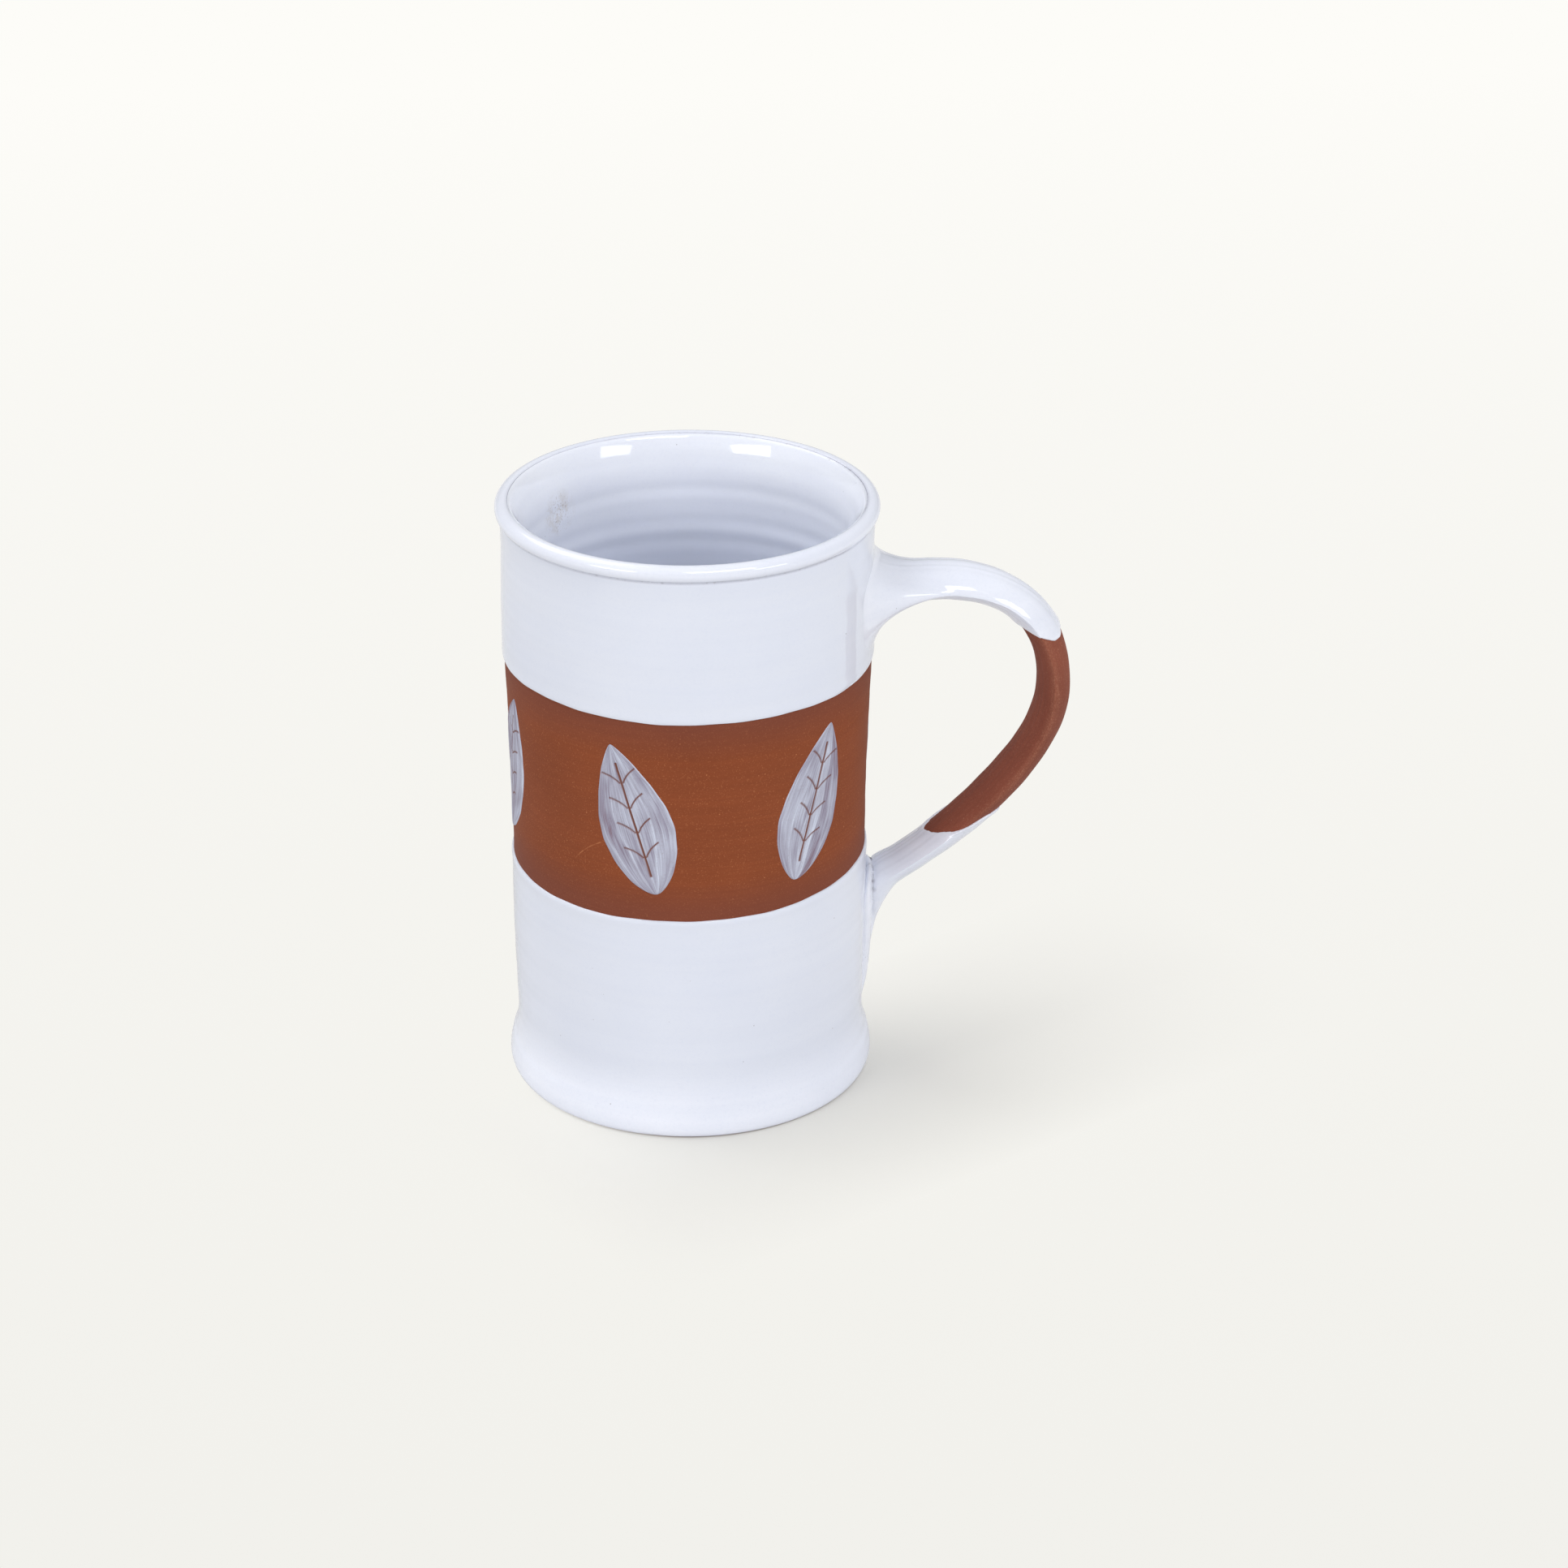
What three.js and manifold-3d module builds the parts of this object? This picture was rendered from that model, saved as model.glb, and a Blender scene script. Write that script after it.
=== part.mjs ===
// A tall hand-thrown coffee mug: a red clay cup with a pulled strap handle, dipped in a pale glaze at both
// ends. Millimetres, +Z up. The origin is the centre of the flat foot and the handle stands out along +X.
import * as THREE from "three";
import { LoftGeometry } from "three/addons/geometries/LoftGeometry.js";
import { mergeVertices } from "three/addons/utils/BufferGeometryUtils.js";
import Module from "manifold-3d";

// The thrown cup. Radii are of the bare clay at the waist, and how far each zone stands out from the waist.
const CUP_HEIGHT = 138.4;
const WAIST_RADIUS = 40.1;
const WAIST_HEIGHT = 70;
const FOOT_FACE_RADIUS = 40.2;
const FOOT_SWELL = 1.3;
const FOOT_SWELL_HEIGHT = 2.6;
const NECK_TUCK = 0.8;
const NECK_HEIGHT = 12.5;
const BELLY_TUCK = 0.3;
const BELLY_HEIGHT = 35;
const SHOULDER_SWELL = 0.5;
const SHOULDER_DROP = 34;
const COLLAR_SWELL = 0.1;
const COLLAR_DROP = 10.5;
const RIM_SWELL = 1.25;
const LIP_RADIUS = 1.2;
const WALL = 3.8;
const FLOOR = 7;
const FLOOR_FILLET = 9;
const LIP_BEVEL_DROP = 11.5;

// Both glazes lie on the clay as a thin coat, and the brushed slip as a thinner one.
const GLAZE_COAT = 0.4;
const SLIP_COAT = 0.35;
const SEAT_GAP = 0.3;

// How deep the cup was dipped, rim down and then foot down, and the bare line left round the foot.
const UPPER_DIP = 35.9;
const LOWER_DIP = 54.8;
const LOWER_DIP_SLOPE = 0.02;
const BARE_FOOT_LINE = 1;

// The handle: a strap that leaves the wall level, turns down and runs back in to a heel and a smeared tail.
const FINGER_DEPTH = 38.2;
const STRAP_WIDTH = 14.2;
const STRAP_THICKNESS = 7.2;
const STRAP_ROUNDNESS = 1.8;
const ROOT_DROP = 24;
const ROOT_WIDTH = 24;
const ROOT_THICKNESS = 26.4;
const ROOT_FLARE = 10;
const ROOT_DEPTH = 4;
const ROOT_RISE_DEG = 19.6;
const ROOT_SWEEP = 24.5;
const REACH_DROP = 46.7;
const REACH_SWEEP_UP = 24.6;
const REACH_SWEEP_DOWN = 20.8;
const HEEL_HEIGHT = 45;
const HEEL_STANDOFF = 6.5;
const HEEL_RISE_DEG = 41.2;
const HEEL_SWEEP_UP = 11.2;
const HEEL_SWEEP_DOWN = 9.2;
const TAIL_HEIGHT = 14;
const TAIL_SINK = 2.1;
const TAIL_SWEEP = 12;
const TAIL_LEAN_DEG = 85;
const TAIL_WIDTH = 9;
const TAIL_THICKNESS = 4.6;

// The brushed leaves round the bare band, each with a scratched midrib and side veins.
const LEAF_COUNT = 6;
const LEAF_WIDTH = 17;
const LEAF_MARGIN = 5.4;
const LEAF_FIRST_DEG = 9;
const LEAF_LEAN_DEG = 16;
const MIDRIB_MARGIN = 6;
const SCRATCH_WIDTH = 0.9;
const VEIN_PAIRS = 3;
const VEIN_LENGTH = 4.6;
const VEIN_RISE_DEG = 42;

// How finely the round pieces are cut, and how far a facet may stand off the true section.
const LATHE_SIDES = 48;
const STRAP_SIDES = 14;
const FLARE_RINGS = 6;
const STRAP_RINGS = 30;
const LEAF_STEPS = 6;
const CHORD_ERROR = 0.06;

const UP = new THREE.Vector3(0, 0, 1);
const FAR = 2 * CUP_HEIGHT;
const shoulderHeight = CUP_HEIGHT - SHOULDER_DROP;
const collarHeight = CUP_HEIGHT - COLLAR_DROP;
const upperDipLevel = CUP_HEIGHT - UPPER_DIP;
const bandMiddle = (upperDipLevel + LOWER_DIP) / 2;
const leafLength = upperDipLevel - LOWER_DIP - 2 * LEAF_MARGIN;
const midribLength = leafLength - 2 * MIDRIB_MARGIN;

const wasm = await Module();
wasm.setup();

const redClay = new THREE.MeshStandardMaterial({ color: 0x8c4a2e, roughness: 0.85, metalness: 0 });
const darkClay = new THREE.MeshStandardMaterial({ color: 0x6f3a2e, roughness: 0.75, metalness: 0 });
const paleGlaze = new THREE.MeshStandardMaterial({ color: 0xdfe4ee, roughness: 0.28, metalness: 0 });
const insideGlaze = new THREE.MeshStandardMaterial({ color: 0xc3c9d4, roughness: 0.25, metalness: 0 });
const brushedSlip = new THREE.MeshStandardMaterial({ color: 0xcfcac6, roughness: 0.55, metalness: 0 });

// A closed geometry as a manifold-3d solid, and a solid as a named mesh.
function solid(geometry) {
  const bare = new THREE.BufferGeometry().copy(geometry);
  bare.deleteAttribute("normal");
  bare.deleteAttribute("uv");
  const merged = mergeVertices(bare, 1e-4);
  return new wasm.Manifold(
    new wasm.Mesh({
      numProp: 3,
      vertProperties: merged.attributes.position.array,
      triVerts: new Uint32Array(merged.index.array),
    }),
  );
}

function piece(name, body, material) {
  const { vertProperties, triVerts } = body.getMesh();
  const geometry = new THREE.BufferGeometry()
    .setAttribute("position", new THREE.BufferAttribute(vertProperties, 3))
    .setIndex(new THREE.BufferAttribute(triVerts, 1));
  geometry.computeVertexNormals();
  const mesh = new THREE.Mesh(geometry, material);
  mesh.name = name;
  return mesh;
}

// The section of the bare clay, drawn from the edge of the foot up the outside, over the lip and down the
// inside to the floor. Each entry is a radius and a height. A quarter round has a point at its middle.
const ROUND_MIDDLE = 1 - Math.SQRT1_2;
const outsidePoints = [
  [FOOT_FACE_RADIUS, 0],
  [WAIST_RADIUS + FOOT_SWELL * (1 - ROUND_MIDDLE), FOOT_SWELL_HEIGHT * ROUND_MIDDLE],
  [WAIST_RADIUS + FOOT_SWELL, FOOT_SWELL_HEIGHT],
  [WAIST_RADIUS + (FOOT_SWELL - NECK_TUCK) / 2, (FOOT_SWELL_HEIGHT + NECK_HEIGHT) / 2],
  [WAIST_RADIUS - NECK_TUCK, NECK_HEIGHT],
  [WAIST_RADIUS - BELLY_TUCK, BELLY_HEIGHT],
  [WAIST_RADIUS, WAIST_HEIGHT],
  [WAIST_RADIUS + SHOULDER_SWELL, shoulderHeight],
  [WAIST_RADIUS + COLLAR_SWELL, collarHeight],
];

const LIP_POINTS_DEG = [-20, 10, 40, 65, 90, 115, 140];
const lipCentre = [WAIST_RADIUS + RIM_SWELL - LIP_RADIUS, CUP_HEIGHT - LIP_RADIUS];
const lipPoints = LIP_POINTS_DEG.map((degrees) => {
  const angle = THREE.MathUtils.degToRad(degrees);
  return [lipCentre[0] + LIP_RADIUS * Math.cos(angle), lipCentre[1] + LIP_RADIUS * Math.sin(angle)];
});

const insidePoints = [
  [WAIST_RADIUS + COLLAR_SWELL - WALL, CUP_HEIGHT - LIP_BEVEL_DROP],
  [WAIST_RADIUS + SHOULDER_SWELL - WALL, shoulderHeight],
  [WAIST_RADIUS - WALL, WAIST_HEIGHT],
  [WAIST_RADIUS - BELLY_TUCK - WALL, BELLY_HEIGHT],
  [WAIST_RADIUS - NECK_TUCK - WALL, FLOOR + FLOOR_FILLET],
  [WAIST_RADIUS - NECK_TUCK - WALL - FLOOR_FILLET * ROUND_MIDDLE, FLOOR + FLOOR_FILLET * ROUND_MIDDLE],
  [WAIST_RADIUS - NECK_TUCK - WALL - FLOOR_FILLET, FLOOR],
];

const sectionPoints = [...outsidePoints, ...lipPoints, ...insidePoints];
const claySection = new THREE.CatmullRomCurve3(
  sectionPoints.map(([radius, height]) => new THREE.Vector3(radius, 0, height)),
  false,
  "centripetal",
);

// Places along the section are told by the number of a point in it, and lie between two points as a fraction.
const BELLY = 5;
const WAIST = 6;
const SHOULDER = 7;
const LIP = outsidePoints.length;
const LIP_TOP = LIP + LIP_POINTS_DEG.indexOf(90);
const LIP_SEAM = LIP_TOP + 1;
const FLOOR_EDGE = claySection.points.length - 1;
const sectionPoint = (place) => claySection.getPoint(Math.min(1, place / FLOOR_EDGE));

// The section from one place to another, moved out from the clay by an offset. A stretch that bends more than
// the chord error gets a point at its middle.
function sectionLine(from, to, offset) {
  const stops = [from];
  for (let whole = Math.floor(from) + 1; whole < to; whole += 1) stops.push(whole);
  stops.push(to);
  const places = [from];
  for (let i = 1; i < stops.length; i += 1) {
    const middle = (stops[i - 1] + stops[i]) / 2;
    const chord = new THREE.Line3(sectionPoint(stops[i - 1]), sectionPoint(stops[i]));
    const onChord = chord.closestPointToPoint(sectionPoint(middle), true, new THREE.Vector3());
    if (onChord.distanceTo(sectionPoint(middle)) > CHORD_ERROR) places.push(middle);
    places.push(stops[i]);
  }
  return places.map((place) => {
    const at = sectionPoint(place);
    const along = claySection.getTangent(Math.min(1, place / FLOOR_EDGE));
    return new THREE.Vector2(at.x + along.z * offset, at.z - along.x * offset);
  });
}

function turned(profile) {
  return solid(new THREE.LatheGeometry(profile, LATHE_SIDES).rotateX(Math.PI / 2));
}

// A coat between two places on the section, from its seat on the clay out to its own surface.
function coat(from, to, thickness) {
  const face = sectionLine(from, to, SEAT_GAP + thickness);
  const back = sectionLine(from, to, SEAT_GAP).reverse();
  return turned([...face, ...back, face[0]]);
}

function wallRadius(height) {
  const outside = sectionLine(0, LIP, 0);
  const above = outside.findIndex((point) => point.y >= height);
  const [low, high] = [outside[above - 1], outside[above]];
  return THREE.MathUtils.mapLinear(height, low.y, high.y, low.x, high.x);
}

// The cup with its inside filled, to cut what stands on its wall.
function filledCup(offset) {
  const outside = sectionLine(0, LIP_TOP, offset);
  const top = outside[outside.length - 1].y;
  return turned([new THREE.Vector2(0, 0), ...outside, new THREE.Vector2(0, top)]);
}

// Everything above a level, and everything below a glaze line that rises towards the handle.
function above(level) {
  return solid(new THREE.BoxGeometry(FAR, FAR, FAR).translate(0, 0, FAR / 2 + level));
}

function below(level, slope) {
  const block = new THREE.BoxGeometry(FAR, FAR, FAR).translate(0, 0, -FAR / 2);
  return solid(block.rotateY(-Math.atan(slope)).translate(0, 0, level));
}

// The middle line of the handle, in the plane of the cup's axis.
function handlePath() {
  const at = (x, z) => new THREE.Vector3(x, 0, z);
  const step = (from, degrees, length) => {
    const angle = THREE.MathUtils.degToRad(degrees);
    return at(from.x + length * Math.cos(angle), from.z + length * Math.sin(angle));
  };
  const rootHeight = CUP_HEIGHT - ROOT_DROP;
  const root = at(wallRadius(rootHeight) - ROOT_DEPTH, rootHeight);
  const reachHeight = CUP_HEIGHT - REACH_DROP;
  const reach = at(wallRadius(reachHeight) + FINGER_DEPTH + STRAP_THICKNESS / 2, reachHeight);
  const heel = at(wallRadius(HEEL_HEIGHT) + HEEL_STANDOFF, HEEL_HEIGHT);
  const tail = at(wallRadius(TAIL_HEIGHT) - TAIL_SINK, TAIL_HEIGHT);
  const path = new THREE.CurvePath();
  path.add(
    new THREE.CubicBezierCurve3(
      root,
      step(root, ROOT_RISE_DEG, ROOT_SWEEP),
      step(reach, 90, REACH_SWEEP_UP),
      reach,
    ),
  );
  path.add(
    new THREE.CubicBezierCurve3(
      reach,
      step(reach, -90, REACH_SWEEP_DOWN),
      step(heel, HEEL_RISE_DEG, HEEL_SWEEP_UP),
      heel,
    ),
  );
  path.add(
    new THREE.CubicBezierCurve3(
      heel,
      step(heel, HEEL_RISE_DEG + 180, HEEL_SWEEP_DOWN),
      step(tail, TAIL_LEAN_DEG, TAIL_SWEEP),
      tail,
    ),
  );
  return path;
}

// Half the strap's width and thickness, at a distance along the path: it flares at the root, where the
// sections also stand parallel to the wall, and thins out along the tail.
function strapSize(distance, length, tailLength) {
  const flare = Math.max(0, 1 - (distance - ROOT_DEPTH) / ROOT_FLARE) ** 2;
  const tail = THREE.MathUtils.smoothstep(distance, length - tailLength, length);
  const width = STRAP_WIDTH + (ROOT_WIDTH - STRAP_WIDTH) * flare;
  const thickness = STRAP_THICKNESS + (ROOT_THICKNESS - STRAP_THICKNESS) * flare;
  const halfWidth = THREE.MathUtils.lerp(width, TAIL_WIDTH, tail) / 2;
  const halfThickness = THREE.MathUtils.lerp(thickness, TAIL_THICKNESS, tail) / 2;
  return { halfWidth, halfThickness, flare };
}

// The whole handle as one loft of lens-shaped sections, grown on all sides by an offset.
function handleLoft(offset) {
  const path = handlePath();
  const length = path.getLength();
  const tailLength = path.curves[2].getLength();
  const flareEnd = ROOT_DEPTH + ROOT_FLARE;
  const distances = [];
  for (let i = 0; i < FLARE_RINGS; i += 1) {
    distances.push(THREE.MathUtils.lerp(0, flareEnd, i / FLARE_RINGS));
  }
  for (let i = 0; i <= STRAP_RINGS; i += 1) {
    distances.push(THREE.MathUtils.lerp(flareEnd, length, i / STRAP_RINGS));
  }
  const sections = distances.map((distance) => {
    const centre = path.getPointAt(distance / length);
    const along = path.getTangentAt(distance / length);
    const { halfWidth, halfThickness, flare } = strapSize(distance, length, tailLength);
    along.lerp(new THREE.Vector3(1, 0, 0), Math.min(1, flare)).normalize();
    const outward = new THREE.Vector3(-along.z, 0, along.x);
    return lensSection(centre, outward, halfWidth + offset, halfThickness + offset);
  });
  return solid(new LoftGeometry(sections, { capStart: true, capEnd: true }));
}

function lensSection(centre, outward, halfWidth, halfThickness) {
  const points = [];
  const power = 2 / STRAP_ROUNDNESS;
  for (let i = 0; i < STRAP_SIDES; i += 1) {
    const angle = (2 * Math.PI * i) / STRAP_SIDES;
    const across = Math.sign(Math.cos(angle)) * Math.abs(Math.cos(angle)) ** power;
    const out = Math.sign(Math.sin(angle)) * Math.abs(Math.sin(angle)) ** power;
    const point = centre.clone().addScaledVector(outward, halfThickness * out);
    point.y += halfWidth * across;
    points.push(point);
  }
  return points;
}

// One leaf as a flat outline about its own middle, with the scratched lines as slots. The curve of a side
// reaches three quarters of the way to its handles, and is fuller towards the stalk.
function leafShape() {
  const tip = leafLength / 2;
  const side = LEAF_WIDTH / 2 / 0.75;
  const low = -tip * 0.75;
  const high = tip * 0.35;
  const shape = new THREE.Shape();
  shape.moveTo(0, -tip);
  shape.bezierCurveTo(side, low, side, high, 0, tip);
  shape.bezierCurveTo(-side, high, -side, low, 0, -tip);
  shape.holes.push(scratch(0, 0, midribLength, 90));
  const pitch = midribLength / (VEIN_PAIRS + 1);
  for (let i = 1; i <= VEIN_PAIRS; i += 1) {
    const height = -midribLength / 2 + pitch * i;
    const aside = SCRATCH_WIDTH + (VEIN_LENGTH / 2) * Math.cos(THREE.MathUtils.degToRad(VEIN_RISE_DEG));
    shape.holes.push(scratch(aside, height, VEIN_LENGTH, VEIN_RISE_DEG));
    shape.holes.push(scratch(-aside, height, VEIN_LENGTH, 180 - VEIN_RISE_DEG));
  }
  return shape;
}

// A scratched line: a slot with pointed ends, drawn clockwise as a hole is.
function scratch(x, y, length, degrees) {
  const corners = [
    [-length / 2, 0],
    [0, SCRATCH_WIDTH / 2],
    [length / 2, 0],
    [0, -SCRATCH_WIDTH / 2],
  ];
  const middle = new THREE.Vector2(0, 0);
  const angle = THREE.MathUtils.degToRad(degrees);
  const points = corners.map(([u, v]) => new THREE.Vector2(u, v).rotateAround(middle, angle));
  return new THREE.Path(points.map((point) => new THREE.Vector2(point.x + x, point.y + y)));
}

// A leaf brushed on the wall: the part of the slip coat inside the leaf's outline.
function slipLeaf(slip, degrees, lean) {
  const angle = THREE.MathUtils.degToRad(degrees);
  const outward = new THREE.Vector3(Math.cos(angle), Math.sin(angle), 0);
  const sideways = new THREE.Vector3().crossVectors(UP, outward);
  const prism = new THREE.ExtrudeGeometry(leafShape(), {
    depth: WAIST_RADIUS,
    bevelEnabled: false,
    curveSegments: LEAF_STEPS,
  });
  prism.rotateZ(THREE.MathUtils.degToRad(lean)).translate(0, 0, WAIST_RADIUS / 2);
  prism.applyMatrix4(new THREE.Matrix4().makeBasis(sideways, UP, outward));
  prism.translate(0, 0, bandMiddle);
  return slip.intersect(solid(prism));
}

const mug = new THREE.Group();

const cupProfile = [new THREE.Vector2(0, 0), ...sectionLine(0, FLOOR_EDGE, 0), new THREE.Vector2(0, FLOOR)];
mug.add(piece("cup_body", turned(cupProfile), redClay));
mug.add(piece("handle", handleLoft(0).subtract(filledCup(SEAT_GAP)), darkClay));

// The inside coat starts at a seam on the inner crest of the lip, where the outside coat ends.
const seamHalf = SEAT_GAP / 2 / sectionPoint(LIP_SEAM).distanceTo(sectionPoint(LIP_SEAM + 1));
const insideFace = sectionLine(LIP_SEAM + seamHalf, FLOOR_EDGE, SEAT_GAP + GLAZE_COAT);
const insideBack = sectionLine(LIP_SEAM + seamHalf, FLOOR_EDGE, SEAT_GAP).reverse();
const insideProfile = [
  new THREE.Vector2(0, FLOOR + SEAT_GAP),
  ...insideBack,
  ...insideFace,
  new THREE.Vector2(0, FLOOR + SEAT_GAP + GLAZE_COAT),
];
mug.add(piece("inner_glaze", turned(insideProfile), insideGlaze));

// The outside coats are dipped to their lines and stop round the roots of the handle.
const handleClearance = handleLoft(SEAT_GAP + GLAZE_COAT + SEAT_GAP);
const dippedRim = above(upperDipLevel);
const dippedFoot = below(LOWER_DIP, LOWER_DIP_SLOPE);
const upperCoat = coat(WAIST, LIP_SEAM - seamHalf, GLAZE_COAT).intersect(dippedRim);
mug.add(piece("upper_glaze", upperCoat.subtract(handleClearance), paleGlaze));
const lowerCoat = coat(0, WAIST, GLAZE_COAT).intersect(dippedFoot).intersect(above(BARE_FOOT_LINE));
mug.add(piece("lower_glaze", lowerCoat.subtract(handleClearance), paleGlaze));

// The glaze on the handle is a sleeve round the strap, seated on it and on the wall.
const sleeve = handleLoft(SEAT_GAP + GLAZE_COAT).subtract(handleLoft(SEAT_GAP)).subtract(filledCup(SEAT_GAP));
mug.add(piece("handle_upper_glaze", sleeve.intersect(dippedRim), paleGlaze));
mug.add(piece("handle_lower_glaze", sleeve.intersect(dippedFoot), paleGlaze));

// The leaves lean to one side and the other in turn.
const slipCoat = coat(BELLY, SHOULDER, SLIP_COAT);
for (let i = 0; i < LEAF_COUNT; i += 1) {
  const degrees = LEAF_FIRST_DEG + (360 * i) / LEAF_COUNT;
  const lean = i % 2 ? LEAF_LEAN_DEG : -LEAF_LEAN_DEG;
  mug.add(piece("slip_leaf_" + (i + 1), slipLeaf(slipCoat, degrees, lean), brushedSlip));
}

export default mug;
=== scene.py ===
import bisect
import math

import bmesh
import bpy
from mathutils import Matrix, Vector, geometry


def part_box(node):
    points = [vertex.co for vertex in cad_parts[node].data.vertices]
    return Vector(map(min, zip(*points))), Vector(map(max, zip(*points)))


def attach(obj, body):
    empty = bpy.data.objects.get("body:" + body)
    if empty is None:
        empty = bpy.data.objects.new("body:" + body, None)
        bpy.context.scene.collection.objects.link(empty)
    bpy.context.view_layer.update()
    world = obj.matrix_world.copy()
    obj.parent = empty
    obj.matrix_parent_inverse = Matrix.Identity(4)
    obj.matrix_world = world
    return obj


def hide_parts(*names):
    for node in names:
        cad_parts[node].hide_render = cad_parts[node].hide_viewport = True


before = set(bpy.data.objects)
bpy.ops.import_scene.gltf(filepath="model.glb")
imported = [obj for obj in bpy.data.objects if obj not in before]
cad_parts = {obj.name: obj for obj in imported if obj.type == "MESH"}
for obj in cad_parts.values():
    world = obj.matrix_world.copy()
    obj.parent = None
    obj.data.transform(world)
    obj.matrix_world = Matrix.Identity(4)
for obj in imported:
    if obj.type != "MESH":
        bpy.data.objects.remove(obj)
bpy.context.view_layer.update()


# The cup's wall and floor are one body of red earthenware, thrown on a wheel from a single lump. The rim was
# rolled outward into a round lip, the foot was left a little wider than the wall, and the middle of the wall
# stays bare of glaze, so the fired clay shows there with its turning lines.

MM = 0.001
glazed_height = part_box("upper_glaze")[1].z
COAT = 0.38 * MM
LIP_RADIUS = 1.52 * MM
LIP_OUT = 42.0 * MM
FOOT_SWELL_RADIUS = 41.65 * MM
NECK_RADIUS = 39.62 * MM
WAIST_RADIUS = 40.1 * MM
SHOULDER_RADIUS = 40.9 * MM
COLLAR_RADIUS = 40.5 * MM
WALL = 3.8 * MM
FLOOR = 7 * MM
FLOOR_FILLET = 9 * MM
AROUND = 240
DOUBLINGS = 4
WELD = 0.001 * MM
SHARP_DEG = 50

lip_centre_radius = LIP_OUT - COAT - LIP_RADIUS
lip_centre_height = glazed_height - COAT - LIP_RADIUS


def smooth_line(points, step):
    """Closely spaced points on the smooth line that passes through a few (radius, height) points."""
    knots = [Vector((radius, 0, height)) for radius, height in points]
    line = []
    for i in range(len(knots) - 1):
        start, end = knots[i], knots[i + 1]
        reach = (end - start).length / 3
        leave = (end - knots[max(i - 1, 0)]).normalized() * reach
        arrive = (knots[min(i + 2, len(knots) - 1)] - start).normalized() * reach
        count = max(3, math.ceil((end - start).length / step) + 1)
        line += geometry.interpolate_bezier(start, start + leave, end - arrive, end, count)[:-1]
    return line + [knots[-1]]


def lip_arc(first, last, count):
    """Points round the rolled lip, from one angle to another, in degrees above its outermost point."""
    arc = []
    for i in range(count):
        angle = math.radians(first + (last - first) * i / (count - 1))
        out = lip_centre_radius + LIP_RADIUS * math.cos(angle)
        arc.append(Vector((out, 0, lip_centre_height + LIP_RADIUS * math.sin(angle))))
    return arc


outside_line = smooth_line(
    [
        (40.4 * MM, 0),
        (40.95 * MM, 0.12 * MM),
        (41.3 * MM, 0.7 * MM),
        (FOOT_SWELL_RADIUS, 2.5 * MM),
        (41.2 * MM, 5.2 * MM),
        (40.25 * MM, 8.2 * MM),
        (NECK_RADIUS, 12.5 * MM),
        (39.8 * MM, 22 * MM),
        (40.1 * MM, 36 * MM),
        (40.1 * MM, 52 * MM),
        (WAIST_RADIUS, 70 * MM),
        (40.5 * MM, 88 * MM),
        (SHOULDER_RADIUS, 104 * MM),
        (40.8 * MM, 116 * MM),
        (COLLAR_RADIUS, 127 * MM),
        (40.5 * MM, 131.5 * MM),
        (40.6 * MM, 134 * MM),
        (40.64 * MM, 135.5 * MM),
    ],
    0.7 * MM,
)
lip_outside = lip_arc(-60, 120, 26)
lip_inside = lip_arc(120, 150, 6)
inside_line = smooth_line(
    [
        (38.55 * MM, 137.55 * MM),
        (37.85 * MM, 136.15 * MM),
        (37.4 * MM, 135 * MM),
        (36.85 * MM, 133 * MM),
        (36.5 * MM, 131 * MM),
        (36.4 * MM, 128.5 * MM),
        (36.4 * MM, 123 * MM),
        (36.7 * MM, 110 * MM),
        (36.5 * MM, 92 * MM),
        (WAIST_RADIUS - WALL, 70 * MM),
        (36.1 * MM, 40 * MM),
        (35.6 * MM, FLOOR + 1.6 * FLOOR_FILLET),
        (34.6 * MM, FLOOR + 0.62 * FLOOR_FILLET),
        (35.5 * MM - 0.62 * FLOOR_FILLET, FLOOR + 0.16 * FLOOR_FILLET),
        (23 * MM, FLOOR - 0.1 * MM),
        (11 * MM, FLOOR - 0.5 * MM),
        (0, FLOOR - 0.3 * MM),
    ],
    0.9 * MM,
)
outside_heights = [point.z for point in outside_line]


def clay_radius(height):
    """The outer radius of the bare clay wall at a height above the foot."""
    upper = min(len(outside_line) - 1, max(1, bisect.bisect_left(outside_heights, height)))
    low, high = outside_line[upper - 1], outside_line[upper]
    share = (height - low.z) / (high.z - low.z)
    return low.x + (high.x - low.x) * min(1, max(0, share))


def spun(outline, closed=False):
    """A mesh turned once round the cup's axis from an outline of (radius, height) points. One part of the
    turn is spun, and copies of it, twice as many each time, make up the rest."""
    bm = bmesh.new()
    verts = [bm.verts.new(point) for point in outline]
    ends = verts[1:] + verts[:1] if closed else verts[1:]
    for start, end in zip(verts, ends):
        bm.edges.new((start, end))
    turn = 2 * math.pi / 2 ** DOUBLINGS
    bmesh.ops.spin(
        bm,
        geom=bm.verts[:] + bm.edges[:],
        cent=(0, 0, 0),
        axis=(0, 0, 1),
        angle=turn,
        steps=AROUND // 2 ** DOUBLINGS,
    )
    for _ in range(DOUBLINGS):
        copied = bmesh.ops.duplicate(bm, geom=bm.verts[:] + bm.edges[:] + bm.faces[:])["geom"]
        copies = [part for part in copied if isinstance(part, bmesh.types.BMVert)]
        bmesh.ops.rotate(bm, verts=copies, cent=(0, 0, 0), matrix=Matrix.Rotation(turn, 3, "Z"))
        turn *= 2
    bmesh.ops.remove_doubles(bm, verts=bm.verts, dist=WELD)
    bmesh.ops.recalc_face_normals(bm, faces=bm.faces)
    return bm


def swing(value, start, end):
    """0 before start, 1 past end, and a soft step between them."""
    share = min(1, max(0, (value - start) / (end - start)))
    return share * share * (3 - 2 * share)


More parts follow.
